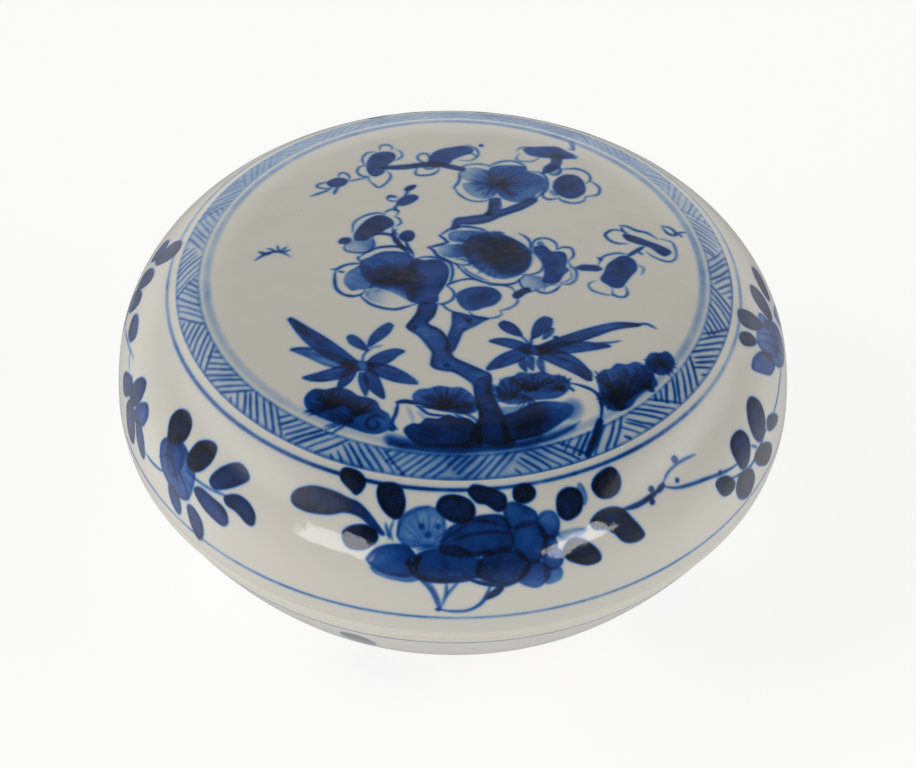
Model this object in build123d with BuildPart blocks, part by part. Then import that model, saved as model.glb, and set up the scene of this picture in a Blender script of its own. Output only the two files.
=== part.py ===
"""A round porcelain trinket box in two pieces: a shallow base and a domed cover that lifts off it."""
import os

from build123d import *

# Sizes are in millimetres. The origin is the centre of the foot, and the box stands on z = 0.
height = 49.0
seat_level = 20.0  # the cover's rim rests on the base here

# Cover, outside: a nearly flat panel, a soft shoulder under the painted border, a brow that turns
# down to the wall, a slow swell to the widest point, and a tuck back in to the rim.
cover_wall = 3.4
panel_radius = 35.0
panel_drop = 0.6
border_radius = 46.8
border_drop = 4.6
brow_radius = 54.5
brow_drop = 17.2
belly_radius = 55.0
belly_level = 25.8
rim_radius = 53.5
rim_rounding = 1.3

# Cover, inside the rim: a straight unglazed band slips over the flange of the base.
slip_clearance = 0.3
slip_band_height = 4.6
inner_edge_rounding = 0.4

# Base, outside: the haunch leaves the seat steeply and the heel runs in flatter to the foot.
seat_radius = 53.4
seat_slope = (-0.469, -0.883)
seat_rounding = 1.0
haunch_radius = 45.7
haunch_level = 7.8
heel_radius = 37.0
heel_level = 1.7

# Base, foot ring: the box stands on this, and the underside is set back inside it.
foot_outer_radius = 36.6
foot_inner_radius = 33.2
foot_recess_radius = 32.8
foot_recess = 2.0
foot_rounding = 0.5

# Base, inside: a flat floor, one rounded side, and the upright flange that steadies the cover.
floor_thickness = 3.2
floor_radius = 31.6
bowl_depth_to_flange = 13.3
flange_radius = 49.5
flange_thickness = 2.0
flange_height = 3.6
flange_rounding = 0.7

panel_level = height - panel_drop
border_level = height - border_drop
brow_level = height - brow_drop
slip_radius = flange_radius + slip_clearance
slip_band_level = seat_level + slip_band_height
floor_level = foot_recess + floor_thickness
flange_inner_radius = flange_radius - flange_thickness
flange_root_level = floor_level + bowl_depth_to_flange
flange_top_level = seat_level + flange_height

os.makedirs("parts", exist_ok=True)

# Cover: the outside is a chain of tangent arcs, turned about the axis.
with BuildPart() as cover:
    with BuildSketch(Plane.XZ):
        with BuildLine():
            panel = TangentArc((0, height), (panel_radius, panel_level), tangent=(1, 0))
            border = TangentArc(panel @ 1, (border_radius, border_level), tangent=panel % 1)
            brow = TangentArc(border @ 1, (brow_radius, brow_level), tangent=border % 1)
            swell = TangentArc(brow @ 1, (belly_radius, belly_level), tangent=brow % 1)
            tuck = TangentArc(swell @ 1, (rim_radius, seat_level), tangent=swell % 1)
            Polyline(tuck @ 1, (0, seat_level), (0, height))
        make_face()
        fillet(vertices().group_by(Axis.Y)[0].sort_by(Axis.X)[-1], radius=rim_rounding)
    revolve(axis=Axis.Z)

    # The hollow follows the outside, one wall inside it, and narrows to the slip band.
    with BuildSketch(Plane.XZ):
        with BuildLine() as hollow:
            add([panel, border, brow])
            offset(amount=cover_wall, side=Side.RIGHT, closed=False, mode=Mode.REPLACE)
            crown = hollow.vertices().sort_by(Axis.X)[0]
            turn = hollow.vertices().sort_by(Axis.X)[-1]
            inner_wall = TangentArc(turn, (slip_radius, slip_band_level), tangent=brow % 1)
            Polyline(inner_wall @ 1, (slip_radius, seat_level), (0, seat_level), crown)
        make_face()
    revolve(axis=Axis.Z, mode=Mode.SUBTRACT)
    rim_inner_edge = edges().filter_by(GeomType.CIRCLE).group_by(Axis.Z)[0].sort_by(SortBy.RADIUS)[0]
    fillet(rim_inner_edge, radius=inner_edge_rounding)

cover.part.label = "cover"
export_step(cover.part, "parts/cover.step")

# Base: bowl, foot ring, seat and flange are one turned piece of porcelain.
with BuildPart() as base:
    with BuildSketch(Plane.XZ):
        with BuildLine():
            haunch = TangentArc(
                (seat_radius, seat_level), (haunch_radius, haunch_level), tangent=seat_slope
            )
            heel = TangentArc(haunch @ 1, (heel_radius, heel_level), tangent=haunch % 1)
            side = TangentArc(
                (floor_radius, floor_level), (flange_inner_radius, flange_root_level), tangent=(1, 0)
            )
            Polyline(
                heel @ 1,
                (foot_outer_radius, 0),
                (foot_inner_radius, 0),
                (foot_recess_radius, foot_recess),
                (0, foot_recess),
                (0, floor_level),
                (floor_radius, floor_level),
            )
            Polyline(
                side @ 1,
                (flange_inner_radius, flange_top_level),
                (flange_radius, flange_top_level),
                (flange_radius, seat_level),
                (seat_radius, seat_level),
            )
        make_face()
        fillet(vertices().sort_by(Axis.X)[-1], radius=seat_rounding)
        fillet(vertices().group_by(Axis.Y)[0], radius=foot_rounding)
        fillet(vertices().group_by(Axis.Y)[-1], radius=flange_rounding)
    revolve(axis=Axis.Z)

base.part.label = "base"
export_step(base.part, "parts/base.step")

print("height", round(cover.part.bounding_box().max.Z, 2))
print("diameter", round(cover.part.bounding_box().size.X, 2))
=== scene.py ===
# A covered trinket box in thrown and turned porcelain, painted with cobalt under a clear glaze.
import math

import bpy
import numpy as np
from mathutils import Matrix, Vector


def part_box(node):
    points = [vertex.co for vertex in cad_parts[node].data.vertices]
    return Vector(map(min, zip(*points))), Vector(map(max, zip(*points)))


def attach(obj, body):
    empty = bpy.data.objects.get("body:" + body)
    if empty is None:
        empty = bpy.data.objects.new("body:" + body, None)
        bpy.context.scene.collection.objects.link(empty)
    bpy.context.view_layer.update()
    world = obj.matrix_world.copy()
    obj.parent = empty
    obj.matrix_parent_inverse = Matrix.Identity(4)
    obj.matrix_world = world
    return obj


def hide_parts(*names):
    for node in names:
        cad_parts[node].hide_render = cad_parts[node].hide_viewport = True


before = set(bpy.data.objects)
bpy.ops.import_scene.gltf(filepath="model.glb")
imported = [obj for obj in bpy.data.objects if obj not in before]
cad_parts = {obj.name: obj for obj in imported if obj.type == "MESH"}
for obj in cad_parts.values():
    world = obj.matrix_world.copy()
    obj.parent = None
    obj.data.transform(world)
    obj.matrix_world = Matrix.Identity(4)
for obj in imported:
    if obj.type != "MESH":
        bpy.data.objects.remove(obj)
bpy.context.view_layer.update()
mm = 0.001
chance = np.random.default_rng(11)
print("frame loaded:", sorted(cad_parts))


def linearColour(hexText):
    # sRGB hex to the linear values that Blender's sockets take
    parts = [int(hexText[i:i + 2], 16) / 255 for i in (1, 3, 5)]
    return tuple(p / 12.92 if p <= 0.04045 else ((p + 0.055) / 1.055) ** 2.4 for p in parts) + (1.0,)


def addNode(tree, kind, settings=None, links=None):
    # links maps an input to (node, output name), or to a plain value
    node = tree.nodes.new(kind)
    for key, value in (settings or {}).items():
        setattr(node, key, value)
    for key, value in (links or {}).items():
        if isinstance(value, tuple) and isinstance(value[0], bpy.types.Node):
            tree.links.new(value[0].outputs[value[1]], node.inputs[key])
        else:
            node.inputs[key].default_value = value
    return node


def setRamp(node, stops):
    ramp = node.color_ramp
    while len(ramp.elements) > 1:
        ramp.elements.remove(ramp.elements[-1])
    for i, (place, colour) in enumerate(stops):
        stop = ramp.elements[0] if i == 0 else ramp.elements.new(place)
        stop.position = place
        stop.color = linearColour(colour)


# The turned shapes, in millimetres, each profile as (radius, level) where one arc or line ends

coverLow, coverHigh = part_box("cover")
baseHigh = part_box("base")[1]
top = coverHigh[2] / mm
seat = coverLow[2] / mm
belly = round((coverHigh[0] - coverLow[0]) / 2 / mm, 1)
flangeTop = baseHigh[2] / mm

cover = {
    "outside": [(35.0, top - 0.6), (46.8, top - 4.6), (54.5, top - 17.2), (belly, 25.8),
                (53.85, seat + 0.73), (52.7, seat)],
    "slip": [(50.2, seat), (49.8, seat + 0.4), (49.8, seat + 4.6)],
    "inside": [(51.2, 31.1), (44.8, top - 7.45), (34.9, top - 4.0), (0.0, top - 3.4)],
    "insideHeading": (0.4, 0.91),
    "crownHeading": (-0.186, 0.983),
    "wander": 0.05,
    # along the outside from its middle: where the panel's painting, the blue and the glaze end
    "panelEnd": 45.3,
    "blueEnd": 74.0,
    "glazeEnd": 76.0,
    # the lower edge: a fine groove left by the turning tool, and a rolled lip below it
    "groove": 71.4,
    "grooveWidth": 0.3,
    "lip": 73.1,
    "lipWidth": 0.8,
    "lipHeight": 0.126,
}
base = {
    "outside": [(45.7, 7.8), (37.0, 1.7)],
    "haunchTop": (52.62, seat - 1.47),
    "haunchSlope": (-0.469, -0.883),
    "foot": [(36.72, 0.5), (36.15, 0.0), (33.65, 0.0), (33.07, 0.5), (32.8, 2.0), (0.0, 2.0)],
    "floor": (31.6, 5.2),
    "flangeRoot": (47.5, 18.5),
    "flange": [(47.5, flangeTop - 0.7), (48.2, flangeTop), (48.8, flangeTop), (49.5, flangeTop - 0.7),
               (49.5, seat), (51.74, seat)],
    "wander": 0.03,
    "blueEnd": 37.2,  # radius
    "blueDepth": 25.0,  # below the haunch
}
rimRadius = 50.0  # the thick glaze by the seat lies outside this
weave = {
    "paintedSpacing": 0.18,  # between points where there is painting, so a fine brush line keeps its edge
    "paintedTurn": 0.2,
    "plainSpacing": 1.2,
    "plainTurn": 1.6,
    "flangeSpacing": 0.9,
    "footSpacing": 0.5,
    "edgeSpacing": 0.3,
    "fewest": 28,
    "most": 1792,
}


def tangentArc(start, direction, end, spacing):
    # points along the arc that leaves start in a direction and reaches end, and its last direction
    start, end = np.array(start, float), np.array(end, float)
    direction = np.array(direction, float) / np.hypot(*direction)
    side = np.array([-direction[1], direction[0]])
    chord = end - start
    turn = 2 * math.atan2(chord @ side, chord @ direction)
    reach = np.hypot(*chord)
    length = reach if abs(turn) < 1e-6 else abs(turn) * reach / (2 * math.sin(abs(turn) / 2))
    steps = max(1, math.ceil(length / spacing))
    share = np.linspace(0, 1, steps + 1)[:, None]
    if abs(turn) < 1e-6:
        points = start + chord * share
    else:
        radius = length / turn
        points = start + radius * (direction * np.sin(turn * share) + side * (1 - np.cos(turn * share)))
    return points, direction * math.cos(turn) + side * math.sin(turn)


def arcChain(start, direction, ends, spacing):
    points = [np.array([start], float)]
    for end in ends:
        arc, direction = tangentArc(points[-1][-1], direction, end, spacing)
        points.append(arc[1:])
    return np.vstack(points)


def lineChain(start, ends, spacing):
    points = [np.array([start], float)]
    for end in ends:
        way = np.array(end) - points[-1][-1]
        steps = max(1, math.ceil(np.hypot(*way) / spacing))
        points.append(points[-1][-1] + way * np.linspace(0, 1, steps + 1)[1:, None])
    return np.vstack(points)


def ringCounts(radii, painted):
    # points round each ring: doubled wherever they would lie too far apart, one doubling at a time
    counts = []
    for radius, fine in zip(radii, painted):
        spacing = weave["paintedTurn"] if fine else weave["plainTurn"]
        count = weave["fewest"]
        while 2 * math.pi * radius / count > spacing and count < weave["most"]:
            count *= 2
        counts.append(1 if radius < 1e-6 else count)
    for step, order in ((1, range(1, len(counts))), (-1, range(len(counts) - 2, -1, -1))):
        for i in order:
            if counts[i] > 1 and counts[i - step] > 1:
                counts[i] = max(counts[i], counts[i - step] // 2)
    return counts


def ringFaces(a, n, b, m):
    # the faces between a ring of n points from number a and the next one, of m points from number b
    if 1 in (n, m):
        j = np.arange(max(n, m))
        k = (j + 1) % max(n, m)
        return [np.stack([0 * j + a, b + j, b + k] if n == 1 else [a + j, 0 * j + b, a + k], axis=1)]
    j = np.arange(min(n, m))
    k = (j + 1) % min(n, m)
    if n == m:
        return [np.stack([a + j, b + j, b + k, a + k], axis=1)]
    if n > m:
        return [np.stack([a + 2 * j, b + j, a + 2 * j + 1], axis=1),
                np.stack([a + 2 * j + 1, b + j, b + k], axis=1),
                np.stack([a + 2 * j + 1, b + k, a + (2 * j + 2) % n], axis=1)]
    return [np.stack([a + j, b + 2 * j, b + 2 * j + 1], axis=1),
            np.stack([a + j, b + 2 * j + 1, a + k], axis=1),
            np.stack([a + k, b + 2 * j + 1, b + (2 * j + 2) % m], axis=1)]


def turnShell(name, zones, wander, lipHeight=0.0):
    # zones: (profile points, painted, slot) in order, from the axis round to the axis again
    profile, painted, slots, along = [], [], [], []
    for points, fine, slot in zones:
        for point in points if not profile else points[1:]:
            if profile:
                along.append(along[-1] + math.hypot(point[0] - profile[-1][0], point[1] - profile[-1][1]))
                slots.append(slot)
            else:
                along.append(0.0)
            profile.append(point)
            painted.append(fine)
    profile = np.array(profile)
    counts = ringCounts(profile[:, 0], painted)
    starts = np.concatenate([[0], np.cumsum(counts)])
    azimuth = np.concatenate([np.arange(n) * (360.0 / n) for n in counts])
    ring = np.repeat(np.arange(len(counts)), counts)
    along = np.array(along)[ring]
    radius, level = profile[ring, 0], profile[ring, 1]
    angle = np.radians(azimuth)
    # the slight wander of a piece turned on a wheel and fired
    swing = wander * (np.sin(2 * angle + 0.7) + 0.5 * np.sin(3 * angle + 2.1))
    radius = radius + swing * np.clip(radius / belly, 0, 1)
    swell = np.exp(-((along - cover["lip"]) / cover["lipWidth"]) ** 2)
    cut = np.exp(-((along - cover["groove"]) / cover["grooveWidth"]) ** 2)
    radius = radius + lipHeight * (swell - cut)
    tip = 0.5 * wander * np.sin(2 * angle + 1.9) * np.clip(radius / belly, 0, 1)
    level = level + tip * (level > seat + 1)
    places = np.stack([radius * np.sin(angle), -radius * np.cos(angle), level], axis=1) * mm

    # the mesh takes its four-sided faces first and its triangles after them
    faces = {3: [], 4: []}
    faceSlots = {3: [], 4: []}
    for i in range(len(counts) - 1):
        for part in ringFaces(starts[i], counts[i], starts[i + 1], counts[i + 1]):
            faces[part.shape[1]].append(part)
            faceSlots[part.shape[1]].append(np.full(len(part), slots[i]))
    quads, triangles = np.vstack(faces[4]), np.vstack(faces[3])

    mesh = bpy.data.meshes.new(name)
    mesh.vertices.add(len(places))
    mesh.vertices.foreach_set("co", places.ravel())
    mesh.loops.add(quads.size + triangles.size)
    mesh.loops.foreach_set("vertex_index", np.concatenate([quads.ravel(), triangles.ravel()]))
    mesh.polygons.add(len(quads) + len(triangles))
    firsts = np.concatenate([np.arange(len(quads)) * 4, quads.size + np.arange(len(triangles)) * 3])
    mesh.polygons.foreach_set("loop_start", firsts)
    mesh.polygons.foreach_set("material_index", np.concatenate(faceSlots[4] + faceSlots[3]))
    mesh.update(calc_edges=True)
    mesh.shade_smooth()
    piece = bpy.data.objects.new(name, mesh)
    bpy.context.scene.collection.objects.link(piece)
    azimuth = (azimuth + 180) % 360 - 180
    print(name, "has", len(places), "points in", len(counts), "rings")
    return piece, {"azimuth": azimuth, "radius": radius, "level": level, "along": along}


def buildCover():
    fine, plain = weave["paintedSpacing"], weave["plainSpacing"]
    outside = arcChain((0, top), (1, 0), cover["outside"], fine)
    slip = lineChain(cover["outside"][-1], cover["slip"], plain)
    inside = arcChain(cover["slip"][-1], cover["insideHeading"], cover["inside"][:1], plain)
    crown = arcChain(cover["inside"][0], cover["crownHeading"], cover["inside"][1:], plain)
    zones = [(outside, True, 0), (slip, False, 1), (inside, False, 0), (crown, False, 0)]
    return turnShell("cover_shell", zones, cover["wander"], cover["lipHeight"])


def buildBase():
    fine, plain = weave["paintedSpacing"], weave["plainSpacing"]
    bowl = lineChain((0, base["floor"][1]), [base["floor"]], plain)
    side = arcChain(base["floor"], (1, 0), [base["flangeRoot"]], plain)
    flange = lineChain(base["flangeRoot"], base["flange"], weave["flangeSpacing"])
    edge = arcChain(base["flange"][-1], (1, 0), [base["haunchTop"]], weave["edgeSpacing"])
    outside = arcChain(base["haunchTop"], base["haunchSlope"], base["outside"], fine)
    foot = lineChain(base["outside"][-1], base["foot"][:5], weave["footSpacing"])
    under = lineChain(base["foot"][4], base["foot"][5:], plain)
    zones = [(bowl, False, 0), (side, False, 0), (flange, False, 1), (edge, True, 0), (outside, True, 0),
             (foot, False, 1), (under, False, 0)]
    return turnShell("base_shell", zones, base["wander"])


# Painting: each canvas is a field of cobalt, 0 for bare porcelain and 1 for the densest blue-black

cell = 0.1
degreeWidth = math.radians(54.0)  # millimetres to a degree on the wall
brushwork = {
    "edgePool": 0.12,  # more cobalt at a wash's wet edge
    "edgeReach": 0.4,
    "mottling": [(3.5, 0.2), (0.9, 0.1)],  # millimetres across, and how uneven
    "bleed": 1.0,  # cells
    "haze": 3.8,
    "hazeShare": 0.24,
}


def newCanvas(left, low, width, height, stretch, wraps):
    # stretch turns a motif's x into millimetres
    return {"left": left, "low": low, "ink": np.zeros((round(height / cell), round(width / cell))),
            "stretch": stretch, "wraps": wraps}


panelCanvas = newCanvas(-46.5, -46.5, 93.0, 93.0, 1.0, False)
wallCanvas = newCanvas(-180 * degreeWidth, 44.8, 360 * degreeWidth, 31.0, degreeWidth, True)
baseCanvas = newCanvas(-180 * degreeWidth, -1.0, 360 * degreeWidth, 27.0, degreeWidth, True)


def ease(share):
    return share * share * (3 - 2 * share)


def window(canvas, path, margin):
    # the cells round a path: their rows and columns, and where their centres are
    rows, columns = canvas["ink"].shape
    xs, ys = path.T
    left, right = (np.array([xs.min() - margin, xs.max() + margin]) - canvas["left"]) / cell
    low, high = (np.array([ys.min() - margin, ys.max() + margin]) - canvas["low"]) / cell
    row = np.arange(max(int(low), 0), min(int(high) + 2, rows))
    column = np.arange(int(left), int(right) + 2)
    if not canvas["wraps"]:
        column = column[(column >= 0) & (column < columns)]
    x = canvas["left"] + (column + 0.5) * cell
    y = canvas["low"] + (row + 0.5) * cell
    return np.ix_(row, column % columns), x[None, :], y[:, None]


def allCells(canvas):
    row, column = map(np.arange, canvas["ink"].shape)
    return (np.ix_(row, column), canvas["left"] + (column[None, :] + 0.5) * cell,
            canvas["low"] + (row[:, None] + 0.5) * cell)


def smoothPath(points, closed=False, step=0.35):
    # a curve through given points (Catmull-Rom), sampled evenly enough for a brush
    p = np.array(points, float)
    p = np.vstack([p[-1], p, p[:2]]) if closed else np.vstack([2 * p[0] - p[1], p, 2 * p[-1] - p[-2]])
    path = []
    for i in range(1, len(p) - 2):
        count = max(2, math.ceil(np.hypot(*(p[i + 1] - p[i])) / step))
        t = np.linspace(0, 1, count, endpoint=False)[:, None]
        a, b, c, d = p[i - 1], p[i], p[i + 1], p[i + 2]
        path.append(0.5 * (2 * b + (c - a) * t + (2 * a - 5 * b + 4 * c - d) * t ** 2
                           + (3 * b - a - 3 * c + d) * t ** 3))
    path = np.vstack(path)
    return path if closed else np.vstack([path, p[-2]])


def layInk(canvas, cells, amount):
    # a second wash darkens the first, as it does in the real thing
    old = canvas["ink"][cells]
    canvas["ink"][cells] = 1 - (1 - old) * (1 - np.clip(amount, 0, 1))


def offLine(x, y, start, end):
    # how far cells lie from the line between two points, and how far along it
    dx, dy = end[0] - start[0], end[1] - start[1]
    t = np.clip(((x - start[0]) * dx + (y - start[1]) * dy) / (dx * dx + dy * dy + 1e-12), 0, 1)
    return np.hypot(x - start[0] - t * dx, y - start[1] - t * dy), t


def brushLine(canvas, points, width, ink, soft=0.3, taper=0.35):
    # a stroke that swells to its width in the middle; width may be (start, middle, end)
    path = smoothPath(points)
    start, middle, end = (width * taper, width, width * taper) if np.isscalar(width) else width
    half = np.interp(np.linspace(0, 1, len(path)), [0, 0.25, 0.75, 1], [start, middle, middle, end]) / 2
    cells, x, y = window(canvas, path, half.max() + soft)
    best = np.full((y.shape[0], x.shape[1]), -9.0)
    for i in range(len(path) - 1):
        off, t = offLine(x, y, path[i], path[i + 1])
        np.maximum(best, half[i] + (half[i + 1] - half[i]) * t - off, out=best)
    layInk(canvas, cells, ink * ease(np.clip(best / soft + 0.5, 0, 1)))


def wash(canvas, ink, points, fade=None, pool=brushwork["edgePool"], soft=0.32):
    # a filled area: denser where the wet edge dried, and thinner from fade's first point to its second
    path = smoothPath(points, True)
    cells, x, y = window(canvas, path, 0.4 + soft / 2)
    near = np.full((y.shape[0], x.shape[1]), 99.0)
    within = np.zeros(near.shape, bool)
    for (ax, ay), (bx, by) in zip(path, np.roll(path, -1, axis=0)):
        np.minimum(near, offLine(x, y, (ax, ay), (bx, by))[0], out=near)
        if ay != by:
            within ^= ((ay > y) != (by > y)) & (x < ax + (y - ay) * (bx - ax) / (by - ay))
    depth = np.where(within, near, -near)
    amount = ink + pool * np.exp(-np.clip(depth, 0, 9) / brushwork["edgeReach"])
    if fade:
        (ax, ay), (bx, by), rest = fade
        t = ((x - ax) * (bx - ax) + (y - ay) * (by - ay)) / ((bx - ax) ** 2 + (by - ay) ** 2)
        amount = amount * (1 + (rest - 1) * ease(np.clip(t, 0, 1)))
    layInk(canvas, cells, amount * ease(np.clip(depth / soft + 0.5, 0, 1)))


def leaf(canvas, ink, width, points):
    # pressed and lifted brush: blunt where it starts, drawn out at its end, darker along its edge
    path = smoothPath(points)
    share = np.linspace(0, 1, len(path))
    half = width / 2 * np.sin(math.pi * (0.06 + 0.92 * share) ** 0.8) ** 0.7
    side = np.gradient(path, axis=0)
    side = np.stack([-side[:, 1], side[:, 0]], axis=1) / np.hypot(*side.T)[:, None]
    outline = np.vstack([path + side * half[:, None], (path - side * half[:, None])[::-1]])
    wash(canvas, 0.8 * ink, outline[:: max(1, len(outline) // 24)], pool=0.34)
    brushLine(canvas, [path[0], path[len(path) // 2], path[-2]], 0.3 * width, 0.24, 0.5)


def fan(canvas, ink, width, centre, inner, outer, first, last, count):
    # fine strokes from a centre outwards, angles in degrees from +x
    for angle in np.radians(np.linspace(first, last, count)):
        reach = outer * chance.uniform(0.8, 1.05)
        bend = chance.uniform(-0.1, 0.1)
        points = []
        for r in (inner, (inner + reach) / 2, reach):
            way = angle + bend * r / outer
            points.append((centre[0] + r * math.cos(way), centre[1] + r * math.sin(way)))
        brushLine(canvas, points, (width, 0.8 * width, 0.3 * width), ink * chance.uniform(0.7, 1.1))


def byTurn(rows, degrees):
    # a value given in rows of (degrees round from the front, value)
    return np.interp((np.asarray(degrees) + 180) % 360 - 180, *zip(*rows))


def ringLine(canvas, level, width, ink, soft=0.35, drift=0.12):
    # a line drawn round on the wheel, with the slow change of a brush running dry
    cells, x, y = allCells(canvas)
    turn = (x - canvas["left"] - 0.5 * cell) / (x.size * cell) * 2 * math.pi
    wave = drift * np.sin(turn + 0.4) + 0.4 * drift * np.sin(3 * turn + 1.0)
    load = byTurn(ink, np.degrees(turn) - 180)
    load = load * (1 + 0.12 * np.sin(turn * 2 + 2.0) + 0.12 * np.sin(7 * turn))
    inside = width / 2 - abs(y - level - wave)
    layInk(canvas, cells, load * ease(np.clip(inside / soft + 0.5, 0, 1)))


def panelRing(radius, width, ink, soft=0.35):
    cells, x, y = allCells(panelCanvas)
    turn = np.arctan2(x, -y)
    wave = 0.12 * np.sin(turn + 1.0) + 0.06 * np.sin(4 * turn)
    load = byTurn(ink, np.degrees(turn)) * (1 + 0.1 * np.sin(5 * turn))
    inside = width / 2 - abs(np.hypot(x, y) - radius - wave)
    layInk(panelCanvas, cells, load * np.clip(inside / soft + 0.5, 0, 1))


def inkAt(canvas, x, y):
    # the canvas read at points between its cells
    rows, columns = canvas["ink"].shape
    column = (x - canvas["left"]) / cell - 0.5
    row = np.clip((y - canvas["low"]) / cell - 0.5, 0, rows - 1.001)
    c0, r0 = np.floor(column).astype(int), row.astype(int)
    fx, fy = column - c0, row - r0
    ca, cb = (c % columns if canvas["wraps"] else np.clip(c, 0, columns - 1) for c in (c0, c0 + 1))
    ink = canvas["ink"]
    return ((ink[r0, ca] * (1 - fx) + ink[r0, cb] * fx) * (1 - fy)
            + (ink[r0 + 1, ca] * (1 - fx) + ink[r0 + 1, cb] * fx) * fy)


def bleed(canvas):
    # cobalt spreads a little into the molten glaze, and a thin haze of it reaches further
    def spread(ink, size):
        reach = math.ceil(3 * size)
        taps = np.exp(-0.5 * (np.arange(-reach, reach + 1) / size) ** 2)
        taps /= taps.sum()
        for axis in (0, 1):
            margin = [(reach, reach) if axis == k else (0, 0) for k in (0, 1)]
            padded = np.pad(ink, margin, mode="wrap" if axis and canvas["wraps"] else "edge")
            count = ink.shape[axis]
            ink = sum(tap * np.take(padded, range(k, k + count), axis=axis) for k, tap in enumerate(taps))
        return ink
    sharp, haze = spread(canvas["ink"], brushwork["bleed"]), spread(canvas["ink"], brushwork["haze"])
    canvas["ink"] = 1 - (1 - sharp) * (1 - brushwork["hazeShare"] * haze)


def mottle(canvas, size, depth):
    # washes are never even: the load on the brush changes over a few millimetres
    rows, columns = canvas["ink"].shape
    coarse = chance.normal(size=(max(int(rows * cell / size), 3), max(int(columns * cell / size), 3)))
    if canvas["wraps"]:
        coarse[:, -1] = coarse[:, 0]
    across = np.linspace(0, coarse.shape[1] - 1, columns)
    down = np.linspace(0, coarse.shape[0] - 1, rows)
    wide = np.array([np.interp(across, np.arange(coarse.shape[1]), row) for row in coarse])
    low = down.astype(int).clip(0, coarse.shape[0] - 2)
    part = ease((down - low)[:, None])
    field = wide[low] * (1 - part) + wide[low + 1] * part
    canvas["ink"] = np.clip(canvas["ink"] * (1 + depth * field * (1.15 - canvas["ink"])), 0, 1)


# Border: a band of slanting strokes between ruled lines, leaning one way and then the other

border = {
    "inner": 41.0,
    "outer": 44.55,
    "innerRule": 0.35,
    "outerRule": 0.45,
    "paleBand": (39.7, 1.1),  # radius and width
    "groups": 29,
    "strokes": 6,
    "lean": 5.6,  # degrees that a stroke runs along the band
    "width": 0.37,
    # by degrees round from the front: the painter's brush was full at the right and ran thinner at the back,
    # where the strokes and rules are also painted paler as a painted sheen of the glaze
    "ink": [(-180, 0.18), (-130, 0.22), (-105, 0.36), (-85, 0.5), (-55, 0.6), (0, 0.5), (30, 0.62),
            (60, 0.7), (90, 0.62), (110, 0.44), (130, 0.26), (180, 0.18)],
    "ground": [(-180, 0.21), (-130, 0.17), (-100, 0.07), (-60, 0.05), (-25, 0.1), (0, 0.26), (22, 0.12),
               (40, 0.05), (95, 0.04), (120, 0.13), (140, 0.2), (180, 0.21)],
    "rule": [(-180, 0.06), (-130, 0.1), (-90, 0.3), (0, 0.4), (90, 0.34), (130, 0.1), (180, 0.06)],
    "band": [(-180, 0.26), (-120, 0.19), (-60, 0.11), (0, 0.09), (60, 0.18), (120, 0.24), (180, 0.26)],
}


def polar(radius, azimuth):
    a = np.radians(azimuth)
    return np.stack([radius * np.sin(a), -radius * np.cos(a)], axis=-1)


def paintBorder():
    inner, outer = border["inner"], border["outer"]
    panelRing(*border["paleBand"], border["band"], 0.6)
    # the rules, like the strokes, are painted paler towards the back as a painted sheen of the glaze
    panelRing(inner, border["innerRule"], border["rule"])
    panelRing(outer, border["outerRule"], border["rule"])
    panelRing((inner + outer) / 2, outer - inner, border["ground"], 0.3)
    step = 360 / border["groups"]
    rise = np.linspace(0.04, 0.96, 7)
    for g in range(border["groups"]):
        lean = (1 if g % 2 else -1) * border["lean"] * (rise - 0.5)
        start = g * step + chance.uniform(-1, 1)
        for k in range(border["strokes"] + 2):
            middle = start + (k - 1 + chance.uniform(-0.12, 0.12)) * step / border["strokes"]
            turn = middle + lean
            # a stroke stops at the last one of the group before, which leans the other way
            keep = (turn > start - lean - 0.2) & (turn < start + step + lean + 0.6)
            if keep.sum() < 2:
                continue
            bow = chance.uniform(-0.25, 0.25)
            radius = inner + (outer - inner) * rise + bow * np.sin(rise * math.pi)
            ends = polar(radius, turn)[keep]
            points = ends[[0, len(ends) // 2, -1]] if len(ends) > 2 else ends
            width = border["width"] * chance.uniform(0.75, 1.15)
            # strokes grow paler towards the back, partly as a painted sheen of the glaze
            brushLine(panelCanvas, points, (0.6 * width, width, 0.9 * width),
                      1.12 * byTurn(border["ink"], middle) * chance.uniform(0.75, 1.15), 0.28)
    print("border painted")


paintBorder()

# lines drawn round: canvas, level, width, and ink by degrees round from the front
turnedLines = [
    (wallCanvas, 46.75, 0.5, [(-180, 0.2), (-120, 0.24), (-95, 0.36), (-65, 0.55), (-40, 0.7), (35, 0.68),
                              (60, 0.36), (100, 0.28), (180, 0.2)]),
    (wallCanvas, 68.2, 0.42, [(-180, 0.36), (180, 0.36)]),
    (baseCanvas, 0.75, 0.45, [(-180, 0.34), (180, 0.34)]),
]
for line in turnedLines:
    ringLine(*line)


def paint(canvas, motif, shift=0.0, flip=1):
    # A motif's strokes, moved along x or mirrored. Washes are (ink, fade if any, outline), soft pools
    # (ink, outline), lines and leaves (ink, width, path), and dots (ink, radius, centre).
    def put(points):
        return [(shift + flip * x * canvas["stretch"], y) for x, y in points]
    for ink, *fade, points in motif.get("washes", []):
        move = (*put(fade[0][:2]), fade[0][2]) if fade else None
        wash(canvas, ink, put(points), move, motif.get("pool", brushwork["edgePool"]))
    for ink, points in motif.get("pools", []):
        wash(canvas, ink, put(points), pool=0, soft=1.7)
    for ink, width, points in motif.get("lines", []):
        brushLine(canvas, put(points), width, ink)
    for ink, width, points in motif.get("leaves", []):
        leaf(canvas, ink, width, put(points))
    for ink, width, centre, *spread in motif.get("fans", []):
        fan(canvas, ink, width, put([centre])[0], *spread)
    for ink, radius, (x, y) in motif.get("dots", []):
        brushLine(canvas, put([(x, y), (x + 0.05, y)]), (2 * radius,) * 3, ink)


# The panel: a plum tree in blossom over rocks, in millimetres from the middle, y away from the front

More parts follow.
